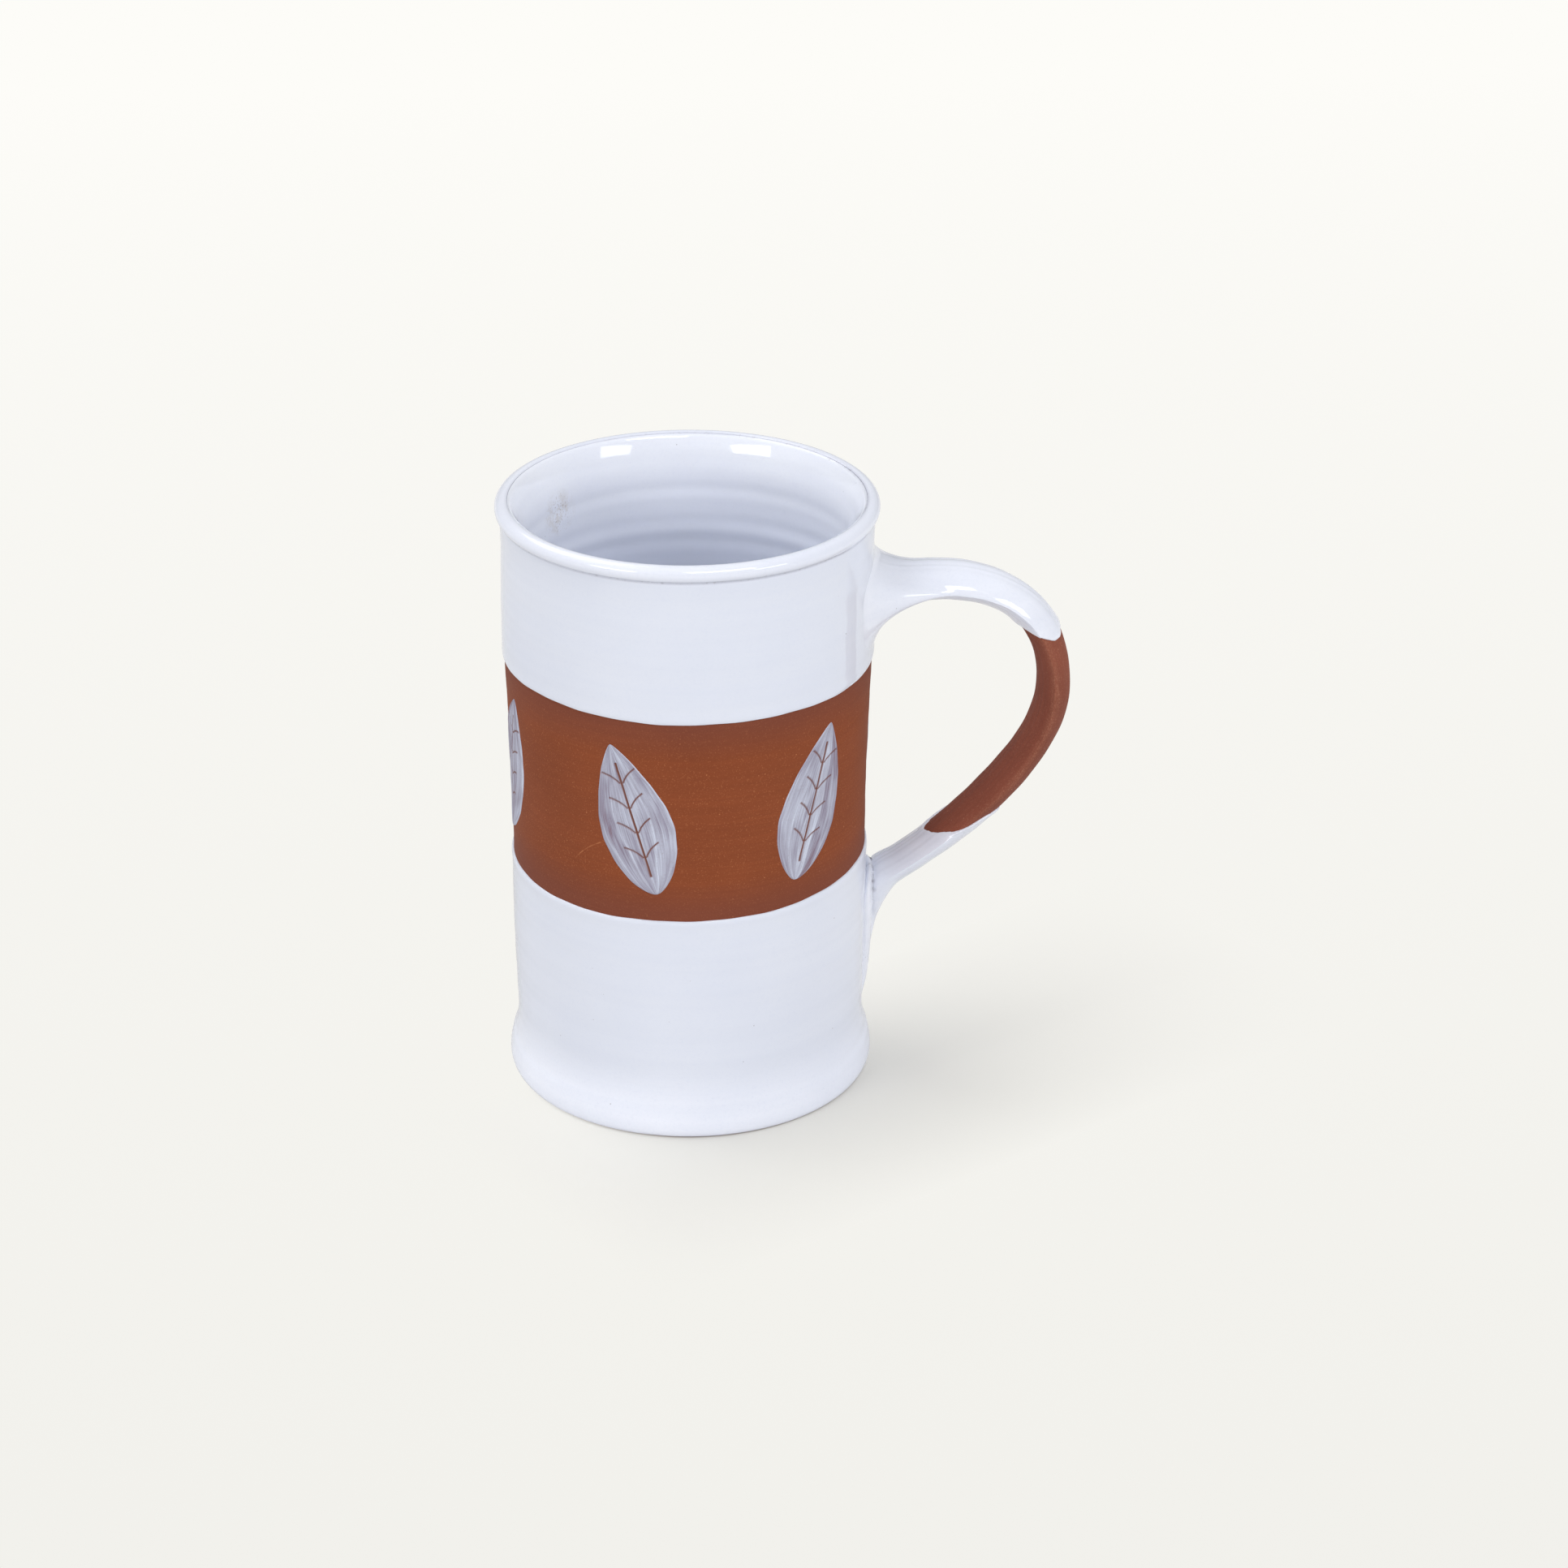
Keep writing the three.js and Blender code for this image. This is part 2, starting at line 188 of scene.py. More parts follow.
RINGS_INSIDE = 0.09 * MM
SWAY_INSIDE = 0.07 * MM
RINGS_OUTSIDE = 0.024 * MM
SWAY_OUTSIDE = 0.008 * MM
FOOT_RIDGE = 6.3 * MM
FOOT_RIDGE_RISE = 0.07 * MM
FOOT_RIDGE_WIDTH = 0.6 * MM
SPIRAL_RADIUS = 20 * MM
SPIRAL_RISE = 0.22 * MM
SPIRAL_CENTRE = 8 * MM
RIM_OVAL = 0.009

# Heights between which these marks set in or die out
INSIDE_RINGS_START = (20 * MM, 60 * MM)
INSIDE_RINGS_END = (125 * MM, 131 * MM)
OUTSIDE_RINGS_START = (3 * MM, 12 * MM)
OUTSIDE_RINGS_END = (129 * MM, 134 * MM)
OVAL_SPAN = (70 * MM, 139 * MM)


def throwing(bm):
    """Leaves the potter's marks on a turned mesh: slow rings that climb round the wall, deeper inside, a
    ridge on the foot, a spiral on the floor, and a rim pulled slightly oval towards the handle."""
    for vert in bm.verts:
        radius = math.hypot(vert.co.x, vert.co.y)
        angle = math.atan2(vert.co.y, vert.co.x)
        height = vert.co.z
        climb = height / MM + angle / math.pi
        inside = height > FLOOR / 2 and radius < clay_radius(height) - WALL / 2
        if inside:
            depth = swing(height, *INSIDE_RINGS_START) * (1 - swing(height, *INSIDE_RINGS_END))
            sway = SWAY_INSIDE * math.sin(climb * 1.43 + 1.5 * math.sin(angle))
            shift = depth * (RINGS_INSIDE * math.sin(climb * 0.95 + 0.5) + sway)
        else:
            depth = swing(height, *OUTSIDE_RINGS_START) * (1 - swing(height, *OUTSIDE_RINGS_END))
            sway = SWAY_OUTSIDE * math.sin(climb * 2.13 + math.cos(angle))
            shift = depth * (RINGS_OUTSIDE * math.sin(climb * 0.71 + 1) + sway)
            shift += FOOT_RIDGE_RISE * math.exp(-((height - FOOT_RIDGE) / FOOT_RIDGE_WIDTH) ** 2)
        if radius > SPIRAL_RADIUS:
            scale = (radius + shift) / radius
            vert.co.x *= scale
            vert.co.y *= scale
        elif inside:
            out = swing(radius, 0, SPIRAL_CENTRE)
            vert.co.z += SPIRAL_RISE * math.sin(radius / MM * 0.62 - angle) * out
        vert.co.x *= 1 + RIM_OVAL * swing(height, *OVAL_SPAN)


def piece(name, bm, material, slot, *nodes):
    """Makes a finished mesh into a smooth shaded piece that stands for the nodes named."""
    mesh = bpy.data.meshes.new(name)
    bm.to_mesh(mesh)
    bm.free()
    mesh.shade_smooth()
    mesh.set_sharp_from_angle(angle=math.radians(SHARP_DEG))
    made = bpy.data.objects.new(name, mesh)
    bpy.context.scene.collection.objects.link(made)
    mesh.materials.append(material)
    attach(made, "root")
    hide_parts(*nodes)


def put(tree, kind, inputs=None, **settings):
    """Adds a node to a material; an input is a value, or another node's output."""
    made = tree.nodes.new(kind)
    for name, value in settings.items():
        setattr(made, name, value)
    for name, value in (inputs or {}).items():
        if isinstance(value, bpy.types.NodeSocket):
            tree.links.new(value, made.inputs[name])
        else:
            made.inputs[name].default_value = value
    return made


def tone(red, green, blue):
    """A colour as a picture shows it, from 0 to 255, as the linear values that a shader takes."""
    def linear(level):
        level /= 255
        return level / 12.92 if level <= 0.04045 else ((level + 0.055) / 1.055) ** 2.4

    return (linear(red), linear(green), linear(blue), 1)


def finish_of(name, inputs):
    """A new material with a Principled shader, its node tree, its shader and its Object coordinates."""
    material = bpy.data.materials.new(name)
    material.use_nodes = True
    tree = material.node_tree
    tree.nodes.clear()
    shader = put(tree, "ShaderNodeBsdfPrincipled", inputs)
    put(tree, "ShaderNodeOutputMaterial", {"Surface": shader.outputs["BSDF"]})
    coords = put(tree, "ShaderNodeTexCoord").outputs["Object"]
    return material, tree, shader, coords


def stretched(tree, coords, scale):
    """Coordinates drawn out along an axis, for grain that runs one way."""
    return put(tree, "ShaderNodeMapping", {"Vector": coords, "Scale": scale}).outputs["Vector"]


def noise(tree, coords, scale, detail=3.0, roughness=0.5):
    """The grey output of a noise texture; scale is in grains per metre."""
    inputs = {"Vector": coords, "Scale": scale, "Detail": detail, "Roughness": roughness}
    return put(tree, "ShaderNodeTexNoise", inputs).outputs["Fac"]


def between(tree, value, low, high, first=0.0, last=1.0):
    """Spreads the part of a value between two levels over another range."""
    inputs = {"Value": value, "From Min": low, "From Max": high, "To Min": first, "To Max": last}
    return put(tree, "ShaderNodeMapRange", inputs).outputs["Result"]


def maths(tree, operation, first, second=0.0):
    """One sum on two values."""
    return put(tree, "ShaderNodeMath", {0: first, 1: second}, operation=operation).outputs[0]


def apart(tree, first, second):
    """How far two values lie apart."""
    return maths(tree, "ABSOLUTE", maths(tree, "SUBTRACT", first, second))


def mixed(tree, share, under, over):
    """One colour laid over another by a share. A colour mix has them in its sockets 0, 6 and 7."""
    return put(tree, "ShaderNodeMix", {0: share, 6: under, 7: over}, data_type="RGBA").outputs[2]


def laid(tree, under, over, share, weight):
    """One colour laid over another by a share that is weighed down."""
    return mixed(tree, maths(tree, "MULTIPLY", share, weight), under, over)


def along_axis(tree, vector, axis):
    """One coordinate of a vector."""
    return put(tree, "ShaderNodeSeparateXYZ", {"Vector": vector}).outputs[axis]


def away_from(tree, coords, point):
    """The distance from a point."""
    return put(tree, "ShaderNodeVectorMath", {0: coords, 1: point}, operation="DISTANCE").outputs["Value"]


def carried(tree, name, output="Fac"):
    """What a piece carries at each of its points under a name."""
    return put(tree, "ShaderNodeAttribute", attribute_name=name).outputs[output]


def grains(tree, coords, scale, size, share):
    """Round specks: one in each cell of the pattern, in only a share of the cells. size is in cells."""
    cells = put(tree, "ShaderNodeTexVoronoi", {"Vector": coords, "Scale": scale})
    near = between(tree, cells.outputs["Distance"], size, size / 2)
    pick = put(tree, "ShaderNodeSeparateColor", {"Color": cells.outputs["Color"]}).outputs["Red"]
    chosen = maths(tree, "GREATER_THAN", pick, 1 - share)
    return maths(tree, "MULTIPLY", near, chosen)


def surfaced(tree, shader, colour, rise, strength, depth):
    """Gives a shader its colour, and a bump from how its surface rises."""
    bump = put(tree, "ShaderNodeBump", {"Strength": strength, "Distance": depth, "Height": rise})
    tree.links.new(colour, shader.inputs["Base Color"])
    tree.links.new(bump.outputs["Normal"], shader.inputs["Normal"])


def clay_finish(name, body, dark, speck, marks, lie=None, lines=(20, 20, 900)):
    """Fired red clay: matte, with tone that drifts, fine turning or pulling lines, grog specks and pits, and
    the marks of its own piece. The lines run round the cup, or along the lie that a piece carries."""
    inputs = {"Roughness": 0.85, "IOR": 1.4, "Specular IOR Level": 0.25, "Sheen Weight": 0.03}
    material, tree, shader, coords = finish_of(name, inputs)
    if lie:
        coords = carried(tree, lie, "Vector")
    drift = between(tree, noise(tree, coords, 45, 4), 0.3, 0.7)
    drawn = between(tree, noise(tree, stretched(tree, coords, lines), 1.6, 4, 0.6), 0.35, 0.65)
    colour = laid(tree, body, dark, drift, 0.6)
    colour = laid(tree, colour, dark, drawn, 0.35)
    fine = between(tree, noise(tree, coords, 3200, 2), 0.58, 0.72)
    colour = laid(tree, colour, speck, fine, 0.3)
    for scale, size, share in ((700, 0.13, 0.13), (330, 0.08, 0.08)):
        colour = laid(tree, colour, speck, grains(tree, coords, scale, size, share), 0.6)
    colour = marks(tree, coords, colour)
    grain = noise(tree, coords, 2600, 3, 0.6)
    rise = maths(tree, "ADD", maths(tree, "MULTIPLY", drawn, 0.5), maths(tree, "MULTIPLY", grain, 0.6))
    surfaced(tree, shader, colour, rise, 0.6, 0.06 * MM)
    return material


BAND_EDGE_TONE = tone(112, 64, 55)
RED_SPECK = tone(196, 126, 84)
GRAZE_CENTRE = (-13.2 * MM, -37.9 * MM, 53.7 * MM)
GRAZE_RADIUS = 20.2 * MM
GRAZE_MIDDLE = (-23.6 * MM, -32.4 * MM, 70.2 * MM)
GRAZE_REACH = 6.5 * MM
GRAZE_HALF_WIDTHS = (0.16 * MM, 0.04 * MM)
BAND_EDGE_START = 9 * MM
BAND_EDGE_END = 1 * MM
band_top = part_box("upper_glaze")[0].z
band_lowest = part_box("lower_glaze")[1].z


def band_marks(tree, coords, colour):
    """The bare band is browner along its two glazed edges, and has one faint scratch, an arc that the grain
    of the clay breaks up."""
    half = (band_top - band_lowest) / 2
    off = apart(tree, along_axis(tree, coords, "Z"), (band_top + band_lowest) / 2)
    browner = between(tree, off, half - BAND_EDGE_START, half - BAND_EDGE_END, 0, 0.5)
    colour = mixed(tree, browner, colour, BAND_EDGE_TONE)
    aside = apart(tree, away_from(tree, coords, GRAZE_CENTRE), GRAZE_RADIUS)
    line = between(tree, aside, *GRAZE_HALF_WIDTHS, 0, 0.6)
    ends = between(tree, away_from(tree, coords, GRAZE_MIDDLE), GRAZE_REACH, 0.6 * GRAZE_REACH)
    broken = between(tree, noise(tree, coords, 900, 2), 0.35, 0.55)
    return laid(tree, colour, RED_SPECK, maths(tree, "MULTIPLY", line, ends), broken)


foot_face = [(0, 0.15), (12, 0.15), (26, 0.13), (33, 0.1), (35, 0)]
foot_line = [Vector((radius * MM, 0, height * MM)) for radius, height in foot_face]
bm = spun(foot_line + outside_line + lip_outside + lip_inside + inside_line)
throwing(bm)
red_clay = clay_finish("red_clay", tone(141, 73, 42), tone(123, 62, 36), RED_SPECK, band_marks)
piece("cup_clay", bm, red_clay, "red_clay", "cup_body")


# The white glaze was put on by dipping: once upside down to the shoulder and once upright from the foot, so
# it ends in two hand-held levels with a soft thick edge, and the band between them stays clay. It is an
# opaque tin glaze, cool white with a faint blue cast, glossy, with a few pinholes and iron specks.

LOWER_SLOPE = 0.02
band_bottom = band_lowest - LOWER_SLOPE * SHOULDER_RADIUS
BARE_FOOT = 0.12 * MM
EDGE_STEPS = [step * MM for step in (0, 0.02, 0.06, 0.12, 0.2, 0.3, 0.42, 0.58, 0.8, 1.1, 1.5, 2.0)]
EDGE_ROUND = 0.45 * MM
EDGE_BEAD = 0.1 * MM
BEAD_MIDDLE = 1.1 * MM
BEAD_WIDTH = 0.9 * MM
BEAD_REACH = 4 * MM
SEAM_GROOVE = 0.16
BACK_SINK = 0.06 * MM


def coat_height(distance):
    """How thick the glaze lies at a distance from its edge: a round edge, then a slightly fuller bead."""
    if distance <= 0:
        return 0
    share = min(1, distance / EDGE_ROUND)
    bead = EDGE_BEAD * math.exp(-((distance - BEAD_MIDDLE) / BEAD_WIDTH) ** 2)
    return COAT * math.sqrt(1 - (1 - share) ** 2) + bead * share


def coat_outline(line, round_start, round_end):
    """The outline of a coat that lies along a line: its face, and its back sunk a little in the clay. An end
    that isn't round stops flat in a shallow groove, where the next coat carries on."""
    along = [0]
    for start, end in zip(line, line[1:]):
        along.append(along[-1] + (end - start).length)
    total = along[-1]
    clear = EDGE_STEPS[-1] + 0.4 * MM
    stops = set(EDGE_STEPS) | {total - step for step in EDGE_STEPS}
    stops |= {stop for stop in along if clear < stop < total - clear}
    face, back = [], []
    for stop in sorted(stops):
        i = max(1, min(len(line) - 1, bisect.bisect_left(along, stop)))
        share = (stop - along[i - 1]) / (along[i] - along[i - 1])
        place = line[i - 1].lerp(line[i], share)
        tangent = (line[min(i + 1, len(line) - 1)] - line[max(i - 2, 0)]).normalized()
        normal = Vector((tangent.z, 0, -tangent.x))
        height = COAT
        for distance, rounded in ((stop, round_start), (total - stop, round_end)):
            if not rounded:
                height *= 1 - SEAM_GROOVE * (1 - swing(distance, 0, EDGE_ROUND))
            elif distance < EDGE_ROUND:
                height = min(height, coat_height(distance))
            elif distance < BEAD_REACH:
                height = coat_height(distance)
        face.append(place + normal * (height if height > 0 else -BACK_SINK))
        back.append(place - normal * BACK_SINK)
    return face, back


def edge_wave(angle, seed):
    """How far the dipped edge wanders up or down round the cup."""
    slow = 0.22 * math.sin(2 * angle + seed) + 0.12 * math.sin(5 * angle + 2.3 * seed)
    quick = 0.05 * math.sin(13 * angle + seed * 4.1) + 0.03 * math.sin(29 * angle + seed)
    return (slow + quick) * MM


IRON = tone(120, 108, 112)
WEAR_AND_SHADE_GREY = tone(178, 180, 198)
DARK_SPOTS = tone(128, 122, 134)
TAN = tone(208, 201, 194)
RUST = tone(160, 144, 136)
STAIN_RADII = (6 * MM, 1 * MM)
DENT_RADII = (0.8 * MM, 0.1 * MM)
FOOT_PAINTED_LIGHT_SPAN = (17 * MM, 8 * MM)
LIP_PAINTED_LIGHT_SPAN = (135.4 * MM, 136.6 * MM)
HANDLE_PAINTED_LIGHT_SPAN = (0, 4 * MM)
PAINTED_SHADE_SPAN = (131 * MM, 112 * MM)


def painted_light_share(tree, coords):
    """Where the outer glaze is painted whiter, as painted light: on the swell of the foot, on the lip and on
    the handle.
    """
    height = along_axis(tree, coords, "Z")
    on_foot = between(tree, height, *FOOT_PAINTED_LIGHT_SPAN)
    on_lip = between(tree, height, *LIP_PAINTED_LIGHT_SPAN)
    along_strap = along_axis(tree, carried(tree, "strap_lie", "Vector"), "X")
    on_handle = between(tree, along_strap, *HANDLE_PAINTED_LIGHT_SPAN)
    return maths(tree, "MAXIMUM", maths(tree, "MAXIMUM", on_foot, on_lip), on_handle)


def stained(tree, coords, colour, stain):
    """A small tan cloud with rusty freckles round a place."""
    patch = between(tree, away_from(tree, coords, stain), *STAIN_RADII)
    cloud = between(tree, noise(tree, coords, 260, 4, 0.7), 0.46, 0.62)
    colour = laid(tree, colour, TAN, maths(tree, "MULTIPLY", patch, cloud), 0.7)
    freckles = between(tree, noise(tree, coords, 1900, 3, 0.6), 0.57, 0.64)
    return laid(tree, colour, RUST, maths(tree, "MULTIPLY", patch, freckles), 0.6)


def glaze_finish(name, body, shade, full=None, dents=(), painted_shade=None, stain=None):
    """Opaque white glaze: tone that drifts, faint rings, sparse iron specks and pinholes, soft ripples. Its
    full tone is painted light, laid whiter on the foot's swell, the lip and the handle; a deeper tone down
    the inside is painted shade. It is rubbed grey by its wear and shade attribute, which is wear on the
    lip's seam and the joint and painted shade in the crease under the lip, dark in a dent and freckled round
    a stain."""
    material, tree, shader, coords = finish_of(name, {"Roughness": 0.05, "IOR": 1.52})
    # The full tone is painted light: a whiter copy of the glaze on the foot's swell, the lip and the handle.
    colour = mixed(tree, painted_light_share(tree, coords), body, full) if full else body
    drift = between(tree, noise(tree, coords, 38, 3), 0.3, 0.7)
    rings = between(tree, noise(tree, stretched(tree, coords, (6, 6, 330)), 1.0, 4, 0.6), 0.3, 0.7)
    haze = between(tree, noise(tree, coords, 1500, 3, 0.65), 0.5, 0.75)
    for share, weight in ((drift, 0.3), (rings, 0.2), (haze, 0.25)):
        colour = laid(tree, colour, shade, share, weight)
    # Painted shade: the colour turns deeper down the inside of the cup.
    if painted_shade:
        down = between(tree, along_axis(tree, coords, "Z"), *PAINTED_SHADE_SPAN)
        colour = laid(tree, colour, painted_shade, down, 0.5)
    for scale, size, share in ((420, 0.07, 0.07), (150, 0.035, 0.1)):
        colour = laid(tree, colour, IRON, grains(tree, coords, scale, size, share), 0.5)
    # The wear and shade attribute carries wear on the lip's seam and at the lower joint, and painted shade
    # in the crease under the lip.
    wear_and_shade = carried(tree, "wear_and_shade")
    colour = laid(tree, colour, WEAR_AND_SHADE_GREY, wear_and_shade, 0.6)
    spots = between(tree, noise(tree, coords, 1100, 4, 0.7), 0.52, 0.66)
    strongest_wear_and_shade = maths(tree, "POWER", wear_and_shade, 2.0)
    colour = laid(tree, colour, DARK_SPOTS, maths(tree, "MULTIPLY", strongest_wear_and_shade, spots), 0.8)
    for dent in dents:
        near = between(tree, away_from(tree, coords, dent), *DENT_RADII, 0, 0.35)
        colour = mixed(tree, near, colour, DARK_SPOTS)
    if stain:
        colour = stained(tree, coords, colour, stain)
    peel = maths(tree, "MULTIPLY", noise(tree, coords, 1500, 2), 0.3)
    ripples = maths(tree, "MULTIPLY", noise(tree, coords, 180, 2), 0.6)
    pinholes = grains(tree, coords, 420, 0.1, 0.09)
    rise = maths(tree, "SUBTRACT", maths(tree, "ADD", peel, ripples), pinholes)
    surfaced(tree, shader, colour, rise, 0.4, 0.05 * MM)
    return material


BAND_FADE = 9 * MM
FOOT_FADE = 0.8 * MM
FOOT_CLEAR = 0.04 * MM
JOINT_DENTS = ((41.7 * MM, -5.4 * MM, 45.1 * MM), (42 * MM, -6.1 * MM, 43.1 * MM))
# Its full tone is painted light on the foot's swell, the lip and the handle.
outer_glaze = glaze_finish(
    "outer_glaze", tone(226, 230, 241), tone(212, 218, 235), full=tone(237, 240, 250), dents=JOINT_DENTS,
)

lower_line = [point for point in outside_line if BARE_FOOT <= point.z <= band_bottom]
lower_face, lower_back = coat_outline(lower_line, True, True)
bm = spun(lower_face + lower_back[::-1], closed=True)
for vert in bm.verts:
    angle = math.atan2(vert.co.y, vert.co.x)
    near_band = math.exp(-(band_bottom - vert.co.z) / BAND_FADE)
    near_foot = math.exp(-(vert.co.z - BARE_FOOT) / FOOT_FADE)
    vert.co.z += (LOWER_SLOPE * vert.co.x + edge_wave(angle, 1.7)) * near_band
    vert.co.z = max(vert.co.z + 0.3 * edge_wave(angle, 4.4) * near_foot, FOOT_CLEAR)
throwing(bm)
piece("lower_glaze_coat", bm, outer_glaze, "outer_glaze", "lower_glaze")

upper_line = [point for point in outside_line if point.z >= band_top] + lip_outside
upper_face, upper_back = coat_outline(upper_line, True, False)
bm = spun(upper_face + upper_back[::-1], closed=True)
wear_and_shade = bm.verts.layers.float.new("wear_and_shade")
seam = lip_outside[-1]
crease_height = outside_line[-1].z + 0.1 * MM
WEAR_BEARING_DEG = 25
SEAM_WEAR_SPAN = (0.1 * MM, 0.8 * MM)
CREASE_SHADE_SPAN = (0.1 * MM, 0.5 * MM)


def lip_wear_and_shade(vert):
    """How much the lip is rubbed grey: a thin worn line on the seam of the two coats, most by the handle,
    and a line of painted shade in the crease under the lip."""
    radius = math.hypot(vert.co.x, vert.co.y)
    from_seam = math.hypot(radius - seam.x, vert.co.z - seam.z)
    from_handle = math.atan2(vert.co.y, vert.co.x) - math.radians(WEAR_BEARING_DEG)
    by_handle = 0.5 + 0.5 * math.cos(from_handle)
    crest = (1 - swing(from_seam, *SEAM_WEAR_SPAN)) * (0.4 + 0.6 * by_handle ** 3)
    # The line in the crease under the lip is painted shade.
    from_crease = abs(vert.co.z - crease_height)
    crease = 0.8 * (1 - swing(from_crease, *CREASE_SHADE_SPAN)) if radius > seam.x else 0
    return max(crest, crease)


for vert in bm.verts:
    angle = math.atan2(vert.co.y, vert.co.x)
    near_band = math.exp(-(vert.co.z - band_top) / BAND_FADE)
    vert.co.z += edge_wave(angle, 0.6) * near_band
    vert[wear_and_shade] = lip_wear_and_shade(vert)
throwing(bm)
piece("upper_glaze_coat", bm, outer_glaze, "outer_glaze", "upper_glaze")


# The inside was glazed first, by pouring: the same white glaze runs from the lip's inner crest down the
# bevelled throat and over the rings that the potter's fingers left, to a spiral on the floor. Its tone is
# a whiter copy of the outer glaze as painted light, and is painted deeper down inside as painted shade. It
# has a few dark pinholes, and holds a small tan stain.

STAIN = (-27.9 * MM, 23.4 * MM, 126.4 * MM)

# The body tone here is a whiter copy of the outer glaze's, as painted light; the deeper tone is painted
# shade.
inner_glaze = glaze_finish(
    "inner_glaze", tone(245, 248, 255), tone(226, 230, 246), painted_shade=tone(189, 197, 219), stain=STAIN,
)
inner_line = lip_inside + inside_line
inner_face, inner_back = coat_outline(inner_line, False, False)
inner_face[-1].x = 0
inner_back[-1].x = 0
bm = spun(inner_face + inner_back[::-1], closed=True)
wear_and_shade = bm.verts.layers.float.new("wear_and_shade")
for vert in bm.verts:
    vert[wear_and_shade] = lip_wear_and_shade(vert)
throwing(bm)
piece("inner_glaze_coat", bm, inner_glaze, "inner_glaze", "inner_glaze")


# The handle was pulled from a tapered lump of the same clay between wet fingers, which leaves a lens-shaped
# strap with a soft ridge along each side. It was pressed on under the collar, smoothed out broadly into the
# wall, bent down in a loop, pressed on again low down, and its end thumbed flat along the wall as a tail.

handle_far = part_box("handle")[1].x
STRAP_WIDTH = 15.3 * MM
STRAP_THICKNESS = 7.1 * MM
HEEL_WIDTH = 12.8 * MM
HEEL_THICKNESS = 5.7 * MM
TAIL_WIDTH = 9.6 * MM
TAIL_THICKNESS = 6.5 * MM
TIP_THINNED = 1.4 * MM
ROOT_LENS = 1.1
STRAP_LENS = 1.5
TAIL_LENS = 0.66
TAIL_SQUARED = 0.34
EDGE_DROP = 0.8 * MM
FINGER_DEPTH = 0.15 * MM
ROOT_HEIGHT = 114.35 * MM
ROOT_DEPTH = 4 * MM
ROOT_RISE_DEG = 19
REACH_HEIGHT = 91.1 * MM
HEEL_HEIGHT = 46.4 * MM
HEEL_STANDOFF = 6.7 * MM
HEEL_RISE_DEG = 27.7
TAIL_HEIGHT = 14 * MM
TAIL_SINK = 2.7 * MM
TAIL_RISE_DEG = 85
STRAP_SIDES = 144
CURVE_POINTS = 240
RING_STEP = 0.8 * MM


def away(start, degrees, length):
    """A point at a distance from another, at an angle in the handle's plane."""
    angle = math.radians(degrees)
    return start + Vector((length * math.cos(angle), 0, length * math.sin(angle)))


root = Vector((clay_radius(ROOT_HEIGHT) - ROOT_DEPTH, 0, ROOT_HEIGHT))
reach = Vector((handle_far - STRAP_THICKNESS / 2 + 0.35 * MM, 0, REACH_HEIGHT))
heel = Vector((clay_radius(HEEL_HEIGHT) + HEEL_STANDOFF, 0, HEEL_HEIGHT))
tail = Vector((clay_radius(TAIL_HEIGHT) - TAIL_SINK, 0, TAIL_HEIGHT))
strap_curves = [
    (root, away(root, ROOT_RISE_DEG, 24.8 * MM), away(reach, 90, 24.6 * MM), reach),
    (reach, away(reach, -90, 20.9 * MM), away(heel, HEEL_RISE_DEG, 4 * MM), heel),
    (heel, away(heel, HEEL_RISE_DEG + 180, 9.8 * MM), away(tail, TAIL_RISE_DEG, 12 * MM), tail),
]
strap_line = [root]
for curve in strap_curves:
    strap_line += geometry.interpolate_bezier(*curve, CURVE_POINTS)[1:]
strap_along = [0]
for start, end in zip(strap_line, strap_line[1:]):
    strap_along.append(strap_along[-1] + (end - start).length)
strap_length = strap_along[-1]
reach_stop = strap_along[CURVE_POINTS]
tail_start = strap_along[2 * CURVE_POINTS]
pad_start = tail_start - 16 * MM

# Stretches of the strap, as distances along it, in which its form or its wear changes
filling_out = (10 * MM, 36 * MM)
narrowing = (tail_start - 31 * MM, tail_start - 7 * MM)
flattening = (tail_start - 10 * MM, strap_length - 4 * MM)
pressing = (tail_start - 2 * MM, tail_start + 7 * MM)
thinning_out = (strap_length - 7 * MM, strap_length)
pad_narrowing = (tail_start + 6 * MM, strap_length)
wear_start = (pad_start, pad_start + 8 * MM)
wear_end = (tail_start - 4 * MM, tail_start + 6 * MM)


def on_strap(distance):
    """The middle of the strap at a distance along it, and the direction in which it runs there."""
    distance = min(strap_length, max(0, distance))
    high = min(len(strap_along) - 1, bisect.bisect_right(strap_along, distance))
    low = high - 1
    share = (distance - strap_along[low]) / (strap_along[high] - strap_along[low])
    ahead = strap_line[min(high + 3, len(strap_line) - 1)] - strap_line[max(low - 3, 0)]
    return strap_line[low].lerp(strap_line[high], share), ahead.normalized()


def powered(value, power):
    """A power of a value's size, with the value's own sign."""
    return math.copysign(abs(value) ** power, value)


